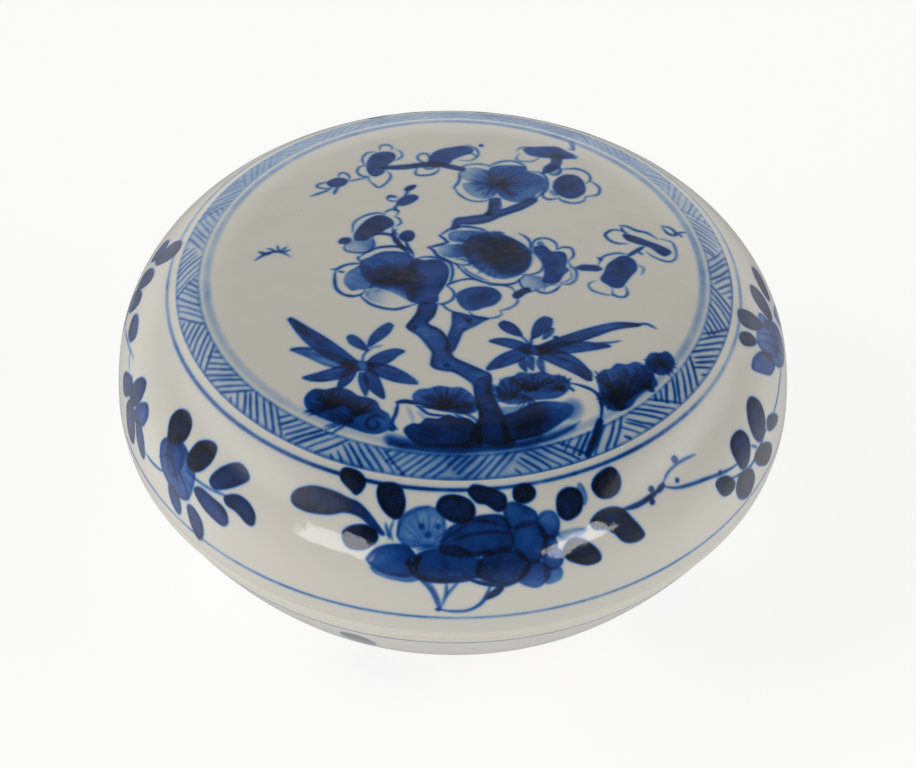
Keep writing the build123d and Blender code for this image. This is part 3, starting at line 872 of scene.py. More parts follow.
bamboo = {
    "leaves": [
        (0.66, 3.2, [(-15, -22.8), (-17.2, -21.2), (-20, -18.7), (-22.8, -15.9), (-26, -12)]),
        (0.36, 3, [(-15.5, -23), (-18.5, -21.9), (-21.8, -20.2), (-25.3, -19.3)]),
        (0.55, 2.7, [(-14.5, -23.2), (-17, -24.4), (-20, -25.4), (-23.1, -25.8)]),
        (0.6, 2, [(-15.3, -23.6), (-16.3, -25.8), (-17.5, -28.3)]),
        (0.5, 1.6, [(-14, -24.5), (-13.5, -27), (-13.2, -29.6)]),
        (0.6, 2.4, [(-12.8, -23.8), (-12.2, -26.6), (-10.4, -30.2)]),
        (0.64, 3, [(-13.2, -23), (-10.5, -24.1), (-7.8, -25.5), (-5.2, -26.8)]),
        (0.64, 2.7, [(-13, -23), (-11, -21.4), (-9, -20), (-7.5, -19.6)]),
        (0.6, 2.1, [(-9.8, -13.4), (-11, -15.2), (-12.3, -17), (-13.2, -18.8)]),
        (0.66, 1.9, [(-16.3, -16.2), (-15.2, -17.6), (-13.2, -19.6)]),
        (0.62, 2.3, [(13, -18.6), (17.8, -16.3), (21.7, -14.3), (25.4, -12.6), (28.6, -12.2),
            (29.6, -12.2)]),
        (0.55, 2.7, [(13, -18.8), (17.5, -18), (21.5, -17.5), (24.6, -17.2)]),
        (0.58, 3.4, [(13.2, -19), (16.5, -20.4), (19.4, -22.6), (21.3, -25.3)]),
        (0.62, 2.8, [(12, -18.8), (9, -20.6), (7, -22), (5.2, -23.5)]),
        (0.62, 2.1, [(12, -18.6), (9, -17.4), (7, -17), (5.6, -17)]),
        (0.7, 2.2, [(7.4, -12.6), (8.8, -13.9), (10.7, -15.7)]),
        (0.66, 2.6, [(14.9, -11.2), (14, -13), (12.4, -16.1)]),
        (0.4, 1.2, [(15.5, -13.6), (14.8, -15), (14, -16.3)]),
        (0.5, 1.2, [(10.9, -20.6), (10.8, -22), (11.4, -23.8)]),
        (0.45, 1.3, [(12.2, -20.2), (12, -21.8), (12.4, -23.4)]),
        (0.4, 1.2, [(13.6, -20.4), (13.6, -22), (14.1, -24)]),
    ],
    "lines": [
        (0.6, 0.4, [(-25.1, -19.6), (-23.6, -19.2), (-22, -19.6)]),
        (0.4, 0.35, [(-10.9, -18.4), (-12.4, -18.9), (-13.2, -19.8)]),
        (0.5, 0.45, [(-13.1, -19.3), (-13.8, -20.6), (-14, -22)]),
        (0.5, 0.35, [(-16.5, -24.5), (-19.5, -26.2), (-22, -26.4)]),
        (0.55, 0.45, [(28.4, -12.2), (30.3, -11.9), (31.8, -12.9)]),
        (0.45, 0.4, [(22.5, -16.6), (24.5, -16.5), (26.2, -16)]),
        (0.5, 0.45, [(10.5, -15.5), (11.3, -16.6), (12, -18)]),
        (0.55, 0.5, [(12.4, -15.6), (12.1, -17), (12.1, -18.3)]),
        (0.55, 0.4, [(15.4, -18.2), (19, -16.6), (22.6, -14.9)]),
        (0.6, 0.4, [(15.4, -20), (18.4, -21.2), (21.2, -23.2), (21.4, -24.8)]),
    ],
    "washes": [
        (0.45, [(-17.4, -22), (-15, -21.8), (-12.6, -22.2), (-12.2, -23.6), (-14, -24.2), (-16.4, -23.6)]),
        (0.6, [(10, -18.6), (11.2, -17.6), (13.5, -17.8), (15, -18.6), (14, -19.8), (11.6, -19.8)]),
        (0.5, [(-24.6, -13), (-23.4, -14.2), (-22.2, -16.4), (-23.4, -16.2), (-25, -14.2)]),
    ],
    "dots": [(0.7, 0.4, (16, -15.8))],
}
bushes = {
    "washes": [
        (0.64, [(-22.3, -29.4), (-21.1, -28.2), (-19.4, -28.3), (-17.6, -27.8), (-15.6, -28.5),
            (-14.4, -29.6), (-13, -29.9), (-11.5, -30.8), (-10.8, -32.4), (-9.6, -33.4), (-9.2, -35),
            (-9.3, -36.4), (-11.1, -37.3), (-13.3, -36.9), (-16.1, -35.6), (-18.9, -34.4), (-21.4, -32.8),
            (-22.5, -31.1)]),
        (0.58, [(-6.1, -29.6), (-5.2, -28.1), (-3.6, -27.8), (-2, -27.2), (-0.2, -27.5), (1.3, -27.4),
            (2.6, -28.4), (3.6, -30.2), (3.8, -32.4), (2, -33.2), (-0.6, -32.8), (-3, -32.2),
            (-5.2, -31.2)]),
        (0.5, [(6.9, -28.4), (7, -26.8), (7.9, -25.2), (9.4, -24.7), (10.4, -23.8), (12.2, -24.1),
            (13.8, -23.5), (15.3, -24.2), (17, -24.4), (18.1, -25.8), (17.7, -27.6), (16, -29.2),
            (12.8, -29.8), (10.5, -30.6), (8.6, -30.9), (7.2, -30)]),
        (0.56, [(22.4, -26), (22.2, -24.4), (23.2, -22.8), (24.4, -22.4), (25.4, -21.2), (27, -21.3),
            (28.4, -20.6), (30, -21.6), (31, -23), (31.6, -25), (30, -26.2), (28.4, -28), (27.2, -30),
            (25.2, -31), (23.6, -30.6), (22.8, -28.4)]),
        (0.6, [(30, -19.9), (30.8, -18.5), (32.2, -18.4), (33.2, -17.8), (34.2, -18.8), (34.4, -20.4),
            (33.6, -22), (32.2, -22.9), (30.8, -22.4), (29.9, -21.4)]),
        # rocks: a dark face each, with a bare sunlit side
        (0.8, ((2, -38), (-7, -36), 0.9), [(-7.2, -36.8), (-6, -35.4), (-4.8, -35.4), (-3.8, -34.2),
            (-2, -34.3), (-0.6, -33.4), (0.9, -34), (2.6, -34.2), (3.9, -35.6), (4.6, -37.2), (4.6, -39.4),
            (2, -39.7), (-2, -39.8), (-5.2, -39.2)]),
        (0.84, ((13, -34.5), (19, -30.4), 0.3), [(7.6, -33.6), (9.4, -32.6), (11.2, -31.2), (13, -30.2),
            (16.1, -30), (18.3, -30.6), (18.3, -32.4), (16.1, -34.8), (13.3, -36.9), (9.4, -38.3),
            (8, -38.9), (7.6, -36)]),
        (0.26, [(7.6, -31.6), (9.4, -31.4), (10.8, -31.2), (9.6, -32.4), (8, -33)]),
    ],
    "pools": [
        (0.55, [(-9.6, -37.4), (-4, -39), (2, -39.4), (8, -38.9), (13.6, -37.2), (12, -39), (4, -40.6),
            (-4, -40.6), (-9, -39.4)]),
        (0.3, [(17.2, -30.4), (18.4, -29.4), (19.6, -30), (19.8, -32), (18.4, -33.6), (17, -33)]),
        (0.45, [(13.4, -37.2), (15.6, -35.8), (18, -34.6), (18.6, -35.2), (16.6, -36.6), (14.4, -37.8)]),
        (0.45, [(-4.4, -36.6), (-2.8, -36), (-1.6, -37.2), (-2.8, -38.4), (-4.4, -38)]),
        (0.52, [(12.3, -32.4), (14.6, -32), (14.4, -34.4), (11.4, -36.4), (9.6, -35.8)]),
    ],
    "lines": [
        (0.9, 0.8, [(-8.5, -30.9), (-7, -30.7), (-5.2, -31.1)]),
        (0.8, 0.6, [(-8.2, -30.8), (-8.5, -33.3), (-9, -35.2), (-8.2, -36.6)]),
        (0.7, 0.45, [(-5.6, -31.2), (-4.4, -32.5), (-3.2, -33.4), (-0.4, -33.7)]),
        (0.16, 0.8, [(-6.8, -31.8), (-6.2, -33.4), (-5.8, -35)]),
        (0.16, 0.8, [(-5.2, -32.8), (-4.4, -33.8), (-3.8, -34.6)]),
        (0.5, 0.5, [(1.6, -32.8), (3.4, -34), (4.6, -35.8)]),
        (0.6, 0.4, [(0.4, -33.2), (2.4, -34.6), (3.6, -36)]),
        (0.75, 0.5, [(18.2, -25.9), (19.6, -26.3), (21.4, -27.2), (22.5, -28.6), (22.9, -30.8),
            (22.6, -33.4)]),
        (0.7, 0.5, [(18, -26.8), (18.7, -27.6)]),
        (0.85, (0.9, 1.2, 0.9), [(22.6, -33.2), (21.9, -36), (20.7, -38.9)]),
        (0.45, 0.5, [(19.6, -33.6), (18.2, -35), (16, -36.6), (13.6, -38)]),
        (0.4, (0.5, 0.9, 0.5), [(-9.4, -39), (-4.8, -39.9), (0, -40.3), (4.8, -39.9), (9.4, -39),
            (13.6, -37.6)]),
        (0.8, 0.5, [(-11.7, -34.6), (-11, -35.6), (-11.8, -36.4), (-12.8, -35.8), (-12.6, -34.4),
            (-11.2, -33.8), (-10, -34.6)]),
    ],
    "fans": [(0.78, 0.42, (-18.3, -32.2), 0.3, 4, 20, 200, 21),
        (0.76, 0.42, (-14.6, -33.6), 0.3, 3.8, 10, 130, 13),
        (0.71, 0.42, (-14.6, -34.6), 0.5, 4.6, 150, 210, 6),
        (0.76, 0.42, (-1, -32.2), 0.5, 4.9, 5, 175, 23), (0.71, 0.42, (9.3, -29.8), 0.4, 5.2, 60, 190, 14),
        (0.71, 0.42, (12.4, -28), 0.4, 4.1, 40, 150, 11),
        (0.71, 0.42, (16.6, -27.4), 0.4, 3.4, 60, 190, 10),
        (0.66, 0.42, (11.8, -29), 0.5, 2.8, 170, 300, 8), (0.82, 0.42, (25.8, -29.7), 0.4, 8, 45, 125, 19),
        (0.76, 0.42, (25.4, -28.6), 0.4, 3.4, 120, 230, 10),
        (0.76, 0.42, (30.4, -26), 0.4, 4.6, 80, 170, 11),
        (0.76, 0.42, (32.3, -20.6), 0.3, 2.6, -60, 240, 17)],
    "dots": [(0.6, 1.4, (1.8, -31.8)), (0.85, 0.9, (25.6, -29.9)), (0.8, 0.5, (9.4, -25.6)),
        (0.75, 0.6, (11.5, -27.6)), (0.8, 0.6, (16.8, -27.2)), (0.6, 0.7, (-14.8, -33.6)),
        (0.8, 0.5, (-9, -36.4)), (0.6, 1, (-18.4, -31.6)), (0.5, 0.9, (-1, -31.4)),
        (0.75, 0.5, (30.6, -26)), (0.6, 0.6, (32.4, -20.8))],
}

for motif in (blossomA, blossomB, blossomC, blossomD, blossomE, blossomF, blossomG, blossomH, blossomI, buds,
              trunk, bamboo, bushes):
    paint(panelCanvas, motif)
print("panel painted")


# The wall: peony and leaf sprays, as degrees round from the front and millimetres down the outside from
# the middle of the top

peony = {
    "pool": 0.26,
    "washes": [
        (0.92, [(-21.2, 46.5), (-20.5, 45.6), (-18, 45.6), (-16.2, 46.5), (-15.9, 47.8), (-17, 49.2),
            (-18.5, 48.6), (-20.5, 47.6)]),
        (0.9, [(-13.5, 47.5), (-12.8, 46.6), (-10.5, 46.3), (-9, 47), (-8, 49), (-8.3, 51), (-9.5, 51.7),
            (-11.5, 50.8), (-13, 49.2)]),
        (0.86, ((-20, 51), (-12, 53), 0.72), [(-28.4, 52), (-27.5, 50.8), (-25, 49.7), (-21.5, 49.5),
            (-18.5, 49.9), (-16, 50.3), (-13.5, 51.8), (-11.5, 53.5), (-10.8, 54.2), (-11.5, 54.4),
            (-13.5, 53.3), (-16, 52.2), (-18.5, 52.2), (-21, 53.1), (-24.5, 53.7), (-27, 53.6),
            (-28.2, 53)]),
        (0.9, [(-18, 55.2), (-16.5, 53.8), (-14, 53.3), (-12.3, 54), (-12, 55.3), (-13.5, 56.8),
            (-15.5, 57.4), (-17.2, 57)]),
        (0.4, ((-3, 53), (-7, 51), 0.85), [(-8.8, 54), (-8.2, 51.5), (-6, 50), (-3.5, 49.3), (-1.5, 50),
            (-0.6, 52), (-1.2, 54.5), (-5, 55.6), (-7.5, 55.4)]),
        (0.91, [(-2.4, 49.5), (-1.8, 48), (0, 47.4), (2.5, 47.7), (4.2, 48.8), (4.4, 50.5), (3, 51.6),
            (1, 51.6), (-1, 50.8)]),
        (0.89, [(3.3, 47), (4.3, 45.9), (6.5, 46.2), (8.8, 47), (10.2, 48), (10, 49.6), (8.5, 50.2),
            (6.5, 49), (4.8, 48.6)]),
        (0.92, [(11.5, 48), (12, 46.8), (13.5, 46.4), (15, 46.7), (15.8, 47.8), (15.2, 48.9), (13.5, 49.4),
            (12, 49)]),
        (0.68, [(-1.6, 55.8), (-0.6, 53), (1, 51.8), (4, 50.8), (7, 50.5), (9.5, 51), (10.7, 53.5),
            (10.4, 56), (8, 56.6), (4, 56.8), (1, 56.8)]),
        (0.58, [(9.5, 50), (11, 48.9), (13.5, 49.8), (15.2, 51), (15, 52.7), (12, 53), (10, 52.8)]),
        (0.62, [(10.5, 55), (11, 53), (13, 52.4), (15.3, 53.2), (16.2, 55.5), (15.3, 57.8), (13.5, 58.5),
            (11.5, 57.6)]),
        (0.55, ((17, 54.5), (17.5, 51.5), 0.8), [(15, 52.5), (16, 51.2), (18, 51.2), (19, 52.6),
            (18.5, 54.6), (17, 55.4), (15.6, 54.8)]),
        (0.56, [(15.3, 58.5), (16, 57), (17.5, 56.8), (18.7, 58), (18.5, 59.8), (17, 60.5), (15.6, 60)]),
        (0.56, [(16, 54.8), (17.5, 55), (18, 56.6), (16.6, 57.4), (15.6, 57)]),
        (0.62, ((-8, 58), (-12.5, 58), 0.85), [(-13.5, 58.5), (-12, 56.5), (-9.5, 55.5), (-7, 55.5),
            (-5.3, 57), (-5, 59.5), (-6.5, 60.5), (-9.5, 60.6), (-12, 59.8)]),
        (0.62, [(-5.6, 58), (-5, 56.5), (-2.5, 55.6), (1, 55.5), (3.5, 56.2), (5, 58), (4.6, 60.2),
            (2, 60.6), (-2, 60.8), (-4.8, 60.2)]),
        (0.72, [(4.4, 59.8), (5, 57.5), (7, 56.2), (10, 56), (12.5, 57.3), (13.2, 59.3), (12, 61),
            (9.5, 61.8), (6.5, 61.2)]),
        (0.6, ((13.5, 60), (14, 63), 0.75), [(11.3, 61.5), (12.3, 59.3), (14.3, 58.6), (16, 60.3), (16, 62),
            (14.5, 63.2), (12.8, 62.8)]),
        (0.42, ((16.5, 60.5), (17.5, 63), 0.6), [(15.4, 60.2), (17, 60), (18.4, 60.6), (18.2, 62.4),
            (16.6, 63), (15.6, 62.6)]),
        (0.89, [(18.9, 51.5), (19.5, 49.3), (21.3, 48.4), (23.4, 48.9), (24, 50.5), (23, 52.4), (21, 53.2),
            (19.6, 52.8)]),
        (0.93, [(26.2, 49.5), (27.3, 48.2), (29.5, 47.5), (31.5, 47.7), (32.1, 49.5), (31, 51.2),
            (29, 51.8), (27, 51.2)]),
        (0.88, [(24.3, 54.4), (26, 53.3), (28.5, 53.2), (30.5, 54.1), (31.8, 56), (33.2, 58.5),
            (33.4, 59.8), (31.5, 60.1), (29.5, 59.2), (28, 57.2), (26.5, 56.2), (24.8, 55.6)]),
        (0.9, [(18.8, 57.8), (20, 56.3), (21.8, 56.3), (23.5, 57.5), (25, 59.5), (25, 61), (23, 61.2),
            (21, 60.3), (19.5, 59.3)]),
        (0.28, [(-12.6, 59.6), (-10, 60.4), (-6.4, 60.4), (-4.4, 60.4), (-6, 61.4), (-9.5, 61.3),
            (-12, 60.6)]),
        (0.22, [(23.6, 48.6), (24.6, 48.4), (24.9, 50.6), (23.8, 51.6)]),
        (0.12, [(18.4, 54.8), (21, 54.6), (23.6, 55.2), (22, 56), (19, 56)]),
    ],
    "lines": [
        (0.8, 0.6, [(-6.2, 57), (-6.6, 58.4), (-5.2, 60.2), (-3, 60.9), (0.5, 60.9), (3, 60.8)]),
        (0.85, 0.8, [(-7, 58.2), (-5.6, 58.2), (-4.4, 57)]),
        (0.8, 0.6, [(2.5, 60.3), (6, 61.5), (9, 62), (11.6, 61.4)]),
        (0.7, 0.5, [(4.6, 56.4), (5.2, 58.4), (4.6, 60.4)]),
        (0.7, 0.5, [(-0.4, 54.6), (2, 53.8), (5, 53.2), (8, 53.2), (10.4, 53.6)]),
        (0.7, 0.45, [(4, 51.2), (7, 51.6), (9.6, 52.6)]),
        (0.7, 0.5, [(-5.2, 56), (-2.6, 55.3), (1, 55.2), (4, 56.2), (7, 55.9), (10, 55.7), (12.6, 57)]),
        (0.7, 0.5, [(-1, 54.2), (1, 53), (3, 51.8)]),
        (0.65, 0.45, [(11.8, 57.7), (13.6, 58.6), (15.4, 57.9), (16.4, 55.6), (15.4, 53), (13, 52.2),
            (10.8, 53)]),
        (0.65, 0.45, [(12, 59.2), (14.4, 58.5), (16.2, 60.2), (16.2, 62)]),
        (0.6, 0.4, [(15.2, 52.4), (16.8, 55.4), (18.6, 54.8)]),
        (0.5, 0.5, [(-8.8, 54.2), (-8.4, 51.5), (-6.2, 49.9), (-3.6, 49.2)]),
        (0.45, 0.5, [(-11, 52.4), (-10, 54.8)]),
        (0.4, 0.5, [(-9.6, 51.8), (-10, 53.6), (-9.4, 55)]),
        (0.5, (0.9, 0.7, 0.5), [(-4.2, 60.7), (-2.5, 63), (-1.3, 66.1)]),
        (0.3, 0.4, [(-3.2, 60.7), (-1.9, 63.2), (-1.2, 65.4)]),
        (0.4, 0.55, [(-0.3, 60.8), (-0.4, 63.4), (-1.1, 66)]),
        (0.4, 0.45, [(1.6, 60.9), (0.2, 62.8), (-0.4, 64)]),
        (0.6, 0.6, [(-1.7, 66.3), (0.6, 66.7), (3.2, 66.5), (5.3, 65.1), (6.3, 63), (6.7, 61.6)]),
        (0.72, 0.75, [(30.3, 54.2), (33.5, 54.5), (36.5, 54.2), (39, 53.7)]),
        (0.8, 0.9, [(38, 54), (39.6, 53.5)]),
        (0.55, 0.45, [(39.3, 53.4), (41.2, 52.3), (43.5, 51.9), (45.9, 52), (48.2, 52.4)]),
        (0.6, 0.55, [(39.4, 53.8), (41.8, 55.1), (45.3, 56.1), (48.5, 56.9), (51.8, 57.9), (54.7, 58.7),
            (56.4, 59)]),
    ],
    "leaves": [(0.95, 1.2, [(8.6, 62.3), (7.4, 63.3), (5.9, 64.4)])],
    "fans": [(0.3, 0.35, (1, 60.4), 1.5, 4.8, 200, 340, 12),
        (0.3, 0.35, (8.5, 60.8), 1.5, 4.4, 210, 330, 9), (0.25, 0.35, (-3.5, 55), 1.5, 5, 190, 320, 9)],
    "dots": [(0.8, 0.35, (-1.6, 66.4)), (0.6, 0.45, (-4.8, 52.3)), (0.5, 0.5, (-3.6, 53.6)),
        (0.5, 0.4, (-2, 52.2)), (0.7, 0.45, (36.9, 53.2)), (0.7, 0.45, (36.3, 55.1)),
        (0.7, 0.6, (43.7, 51.1)), (0.65, 0.4, (42.4, 54.1)), (0.7, 0.4, (51.7, 57.7))],
}
rightSpray = {
    "pool": 0.34,
    "washes": [
        (0.82, [(56.1, 57), (56.6, 55.2), (58.5, 54.6), (60.5, 55.3), (61.4, 57.5), (60.5, 59.8),
            (58.8, 61.1), (57, 60.3)]),
        (0.8, [(62.9, 58), (63.2, 55.5), (65, 53.5), (67.3, 53.3), (68.7, 55.5), (68, 58.5), (66, 60.2),
            (64, 60)]),
        (0.84, [(50, 59), (51, 58.4), (53, 59.1), (54.6, 61), (54.5, 62.4), (52.8, 62.6), (51, 61.5)]),
        (0.86, [(55, 63), (56, 61.4), (58.5, 61.6), (60.5, 63.2), (61.1, 65.8), (59.5, 67.4), (57.2, 66.8),
            (55.5, 65)]),
        (0.82, [(61.5, 61.5), (63.2, 60.7), (66, 61.7), (68.5, 64), (68.9, 66), (67, 66.7), (64.5, 65.3),
            (62.5, 63.5)]),
        (0.78, [(68, 59.5), (69.3, 58.9), (71.5, 60), (73.3, 62), (72.5, 62.8), (70, 62), (68.3, 61)]),
        (0.46, ((79, 55), (74, 51.5), 0.85), [(72.6, 51.3), (75, 51), (78, 52), (79.9, 54), (79.4, 56.2),
            (76.5, 55.7), (74.5, 54)]),
        (0.82, [(76.1, 48.4), (77, 47.3), (79, 47.5), (80.3, 49.2), (79.6, 50.6), (78, 50.2)]),
        (0.86, [(81, 47.6), (82.4, 46.4), (84.8, 46.4), (86, 48.6), (85.6, 51.2), (83.4, 51),
            (81.8, 49.6)]),
        (0.4, [(79, 51.5), (81, 50.4), (84, 51), (88, 53), (90, 56.4), (88, 59.4), (84, 59.6), (80.6, 57.6),
            (79, 54.8)]),
        (0.34, [(86, 50.6), (88, 51), (88, 53.4), (85.8, 53.4), (85, 52)]),
        (0.8, [(88.7, 53.6), (89.4, 51), (91.5, 49.4), (94.5, 49.4), (94.8, 51.4), (93, 53.6),
            (90.6, 54.6)]),
        (0.78, [(94.8, 54.4), (95.6, 52.6), (98.6, 51.4), (101.6, 51.6), (102.2, 53.4), (100, 54.8),
            (96.8, 55.2)]),
        (0.4, [(92, 56), (96, 57), (99, 60), (101, 64), (99.6, 67), (96, 65), (93, 61)]),
    ],
    "lines": [
        (0.55, 0.6, [(54.2, 60.3), (56.8, 61.2), (60.3, 61.9), (63.2, 61.2), (66.8, 60.1), (68.5, 60.4)]),
        (0.5, 0.45, [(61.4, 58.8), (63, 60.4)]),
        (0.4, 0.55, [(70, 60.2), (75.6, 59.5), (78, 58.9), (81.5, 58.6)]),
        (0.6, 0.4, [(72.6, 51.3), (75, 51), (78, 52), (79.9, 54), (79.4, 56.2)]),
        (0.5, 0.4, [(80, 51), (82, 53), (84, 56.4), (85, 59)]),
        (0.5, 0.4, [(82, 50.8), (84.6, 53.4), (86.6, 56.6)]),
    ],
    "fans": [(0.45, 0.4, (83, 58), 1.5, 6.5, 230, 330, 12)],
}
leftSpray = {
    "pool": 0.34,
    "washes": [
        (0.96, [(-58.8, 53.5), (-58, 51.6), (-55.8, 50.9), (-53.6, 51.8), (-53, 54), (-54.4, 56),
            (-56.6, 56.8), (-57.8, 55.6)]),
        (0.95, [(-50.9, 55.4), (-50.2, 53), (-48, 51.6), (-46, 51.8), (-45.7, 54), (-47, 56.4), (-49, 57.6),
            (-50.6, 57)]),
        (0.5, [(-58.2, 58.4), (-57, 56.4), (-54, 55), (-50.6, 55.8), (-48, 57.6), (-47.6, 60.4),
            (-48.4, 62.8), (-50.6, 63.8), (-53.6, 63.4), (-56.6, 61.6)]),
        (0.3, [(-56.4, 56.6), (-54, 55.4), (-51.6, 56.6), (-51.4, 59.6), (-53.4, 61.4), (-55.4, 60.2)]),
        (0.7, [(-44.6, 56.8), (-43.8, 54.5), (-41.5, 52.2), (-39.5, 51.6), (-37.2, 52.8), (-38.5, 54.5),
            (-40.8, 56.3), (-43, 57.5)]),
        (0.7, [(-40.6, 57.6), (-38.5, 56.2), (-36, 56.2), (-34, 57.5), (-33.8, 59.3), (-35, 59.7),
            (-37.5, 58.8), (-39.8, 58.6)]),
        (0.72, [(-47.3, 60), (-46, 58.9), (-43, 59), (-40, 59.5), (-38.8, 61.2), (-39.8, 62.6),
            (-42.5, 62.4), (-45.5, 61.4)]),
        (0.66, [(-53.8, 63.6), (-52, 63), (-50.2, 64.6), (-50, 66.6), (-51, 67.4), (-53, 66)]),
        (0.68, [(-48.4, 64.2), (-47, 63.2), (-44.8, 64.4), (-44.1, 66.8), (-45.2, 69), (-47, 67.4)]),
        (0.7, [(-73, 59.6), (-73, 57), (-71.6, 55), (-69.6, 54.6), (-68.5, 56.4), (-69, 58.8),
            (-71, 60.2)]),
        (0.68, [(-78.6, 60.6), (-77.6, 58.8), (-74.6, 57.6), (-72.6, 58.4), (-73.4, 60.4), (-76, 62.1)]),
        (0.64, [(-69.2, 60.6), (-68.4, 58), (-66.2, 56.3), (-64.4, 57.4), (-64.8, 59.8), (-67, 61.2)]),
        (0.68, [(-67.4, 61), (-65.8, 60.1), (-63.4, 61.6), (-62.4, 64), (-63.4, 65.2), (-66, 63.8)]),
        (0.7, [(-73.2, 62.6), (-72.4, 60.4), (-70, 60), (-67.8, 62), (-67.4, 65), (-69, 66.5),
            (-71.6, 65.6)]),
        (0.66, [(-88.2, 55.4), (-87.2, 53.9), (-84.6, 53.5), (-81.8, 54.4), (-82.6, 56.2), (-85.6, 56.8)]),
        (0.74, [(-103.5, 48), (-102.4, 46.4), (-99.6, 46.2), (-97.6, 47.8), (-98, 50.4), (-100.4, 51.6),
            (-102.4, 50)]),
        (0.66, [(-99.4, 54.6), (-98.6, 52.2), (-96, 50.8), (-93.9, 51.4), (-94.4, 54), (-97, 56.2)]),
        (0.64, [(-106, 51.4), (-104.6, 50), (-101.8, 50.4), (-100.6, 52), (-102, 53.6), (-104.6, 53)]),
        (0.66, [(-96.5, 57.4), (-95.2, 55), (-92.4, 53.3), (-90, 53.8), (-90.6, 56.4), (-93.6, 58.4)]),
        (0.6, [(-98.6, 60), (-95.6, 58.6), (-91.6, 58.4), (-90, 60.6), (-92, 64), (-96, 65.4),
            (-98.6, 63)]),
        (0.68, [(-111, 62.4), (-108.6, 60.8), (-105, 60.2), (-102.6, 61), (-104.6, 63.2), (-108.6, 64.4)]),
    ],
    "lines": [
        (0.5, 0.5, [(-50, 58.2), (-46.5, 58.2), (-43.5, 57.9), (-40.3, 57.3)]),
        (0.5, 0.5, [(-62.4, 63.3), (-59.7, 63.2), (-56.8, 62.6), (-55.4, 61.8)]),
        (0.45, 0.5, [(-75, 57.2), (-71, 60.2), (-67.6, 60.6), (-65.4, 61)]),
        (0.3, 0.45, [(-89, 58.8), (-85, 57.6), (-82, 56.8), (-77.4, 55.7)]),
        (0.3, 0.4, [(-80.8, 56.4), (-79, 57.2), (-77, 57.8)]),
        (0.6, 0.45, [(-57.6, 60.6), (-55, 58.6), (-52.4, 60.4), (-50.4, 62.6)]),
        (0.6, 0.45, [(-52, 56.6), (-51.4, 59.4), (-49.2, 61), (-48, 62.6)]),
        (0.5, 0.45, [(-98, 56.4), (-94.6, 59.4), (-89, 58.8)]),
    ],
}

for motif in (peony, rightSpray, leftSpray):
    paint(wallCanvas, motif)
# the back carries the same flowers again, the other way round and a little closer
backPeony = {"shift": 180 * degreeWidth, "flip": -0.92}
paint(wallCanvas, peony, **backPeony)
print("wall painted")

# low on the base, leaves as (degrees, millimetres below the haunch)
lowSpray = {
    "pool": 0.3,
    "washes": [
        (0.78, [(-3, 5), (-2.1, 3.6), (0, 3.3), (2, 4.6), (3, 7.2), (2.2, 10.4), (0.2, 11.8), (-1.8, 10.2),
            (-3.1, 7.6)]),
        (0.66, [(4, 15), (5.4, 13.4), (8.4, 12.4), (10.8, 12.8), (10, 14.8), (7.4, 16.4), (4.8, 16.6)]),
        (0.7, [(-11, 14), (-9.6, 12.8), (-6.6, 13.2), (-4.4, 15), (-4.6, 17), (-7.4, 17), (-10, 16)]),
        (0.6, [(-2.4, 19), (-0.6, 17.8), (2, 18.4), (2.6, 20.6), (0.6, 22.2), (-1.6, 21.2)]),
    ],
    "lines": [
        (0.5, 0.5, [(-14, 18.8), (-9, 17.8), (-4, 17.2), (0, 16.8), (5, 17.2), (11, 18.4), (17, 17.4)]),
        (0.5, 0.4, [(11, 18.4), (14, 16.4), (17.4, 15.6)]),
        (0.45, 0.4, [(0.2, 11.6), (0, 14.4), (0.2, 18)]),
    ],
    "dots": [(0.7, 0.4, (17.8, 15.2)), (0.7, 0.4, (17.6, 17.2)), (0.6, 0.4, (-14.6, 18.2))],
}
lowSprays = {"count": 5, "first": -16.5}  # degrees round from the front
for k in range(lowSprays["count"]):
    turn = lowSprays["first"] + 360 / lowSprays["count"] * k
    paint(baseCanvas, lowSpray, turn * degreeWidth, -1 if k % 2 else 1)
print("base painted")


# The clay and its glaze, as sRGB

clay = {
    # the ramp runs from bare white clay through pale and full cobalt to where it pooled nearly black
    "cobalt": [(0.0, "#DFDBD0"), (0.1, "#B9C4CD"), (0.25, "#84A2C3"), (0.42, "#4577B2"), (0.58, "#1E519A"),
               (0.72, "#0D3B7E"), (0.86, "#0A285A"), (1.0, "#0A1424")],
    # thick glaze by the rims: cream, and lighter than the ground as a painted highlight on the rounded edges
    "glazeEdgeAndHighlight": "#EEEADB",
    "speck": "#6A5A48",
    "bare": [(0.3, "#CABDA6"), (0.55, "#D6CCB9"), (0.75, "#DED7C8")],
    "glazeIor": 1.5,
    # pattern sizes in millimetres
    "cloudSize": 1.5,
    "grainSize": 0.25,
    "speckSpacing": 7,
    "rippleSize": 6,
    "gritSize": 0.4,
}


def newMaterial(name):
    # an empty material, its tree, and a function that adds noise with features of a size in millimetres
    material = bpy.data.materials.new(name)
    material.use_nodes = True
    tree = material.node_tree
    tree.nodes.clear()
    place = addNode(tree, "ShaderNodeTexCoord")

    def pattern(kind, size, **values):
        return addNode(tree, kind, None, {"Vector": (place, "Object"), "Scale": 1 / (size * mm), **values})
    return material, tree, pattern


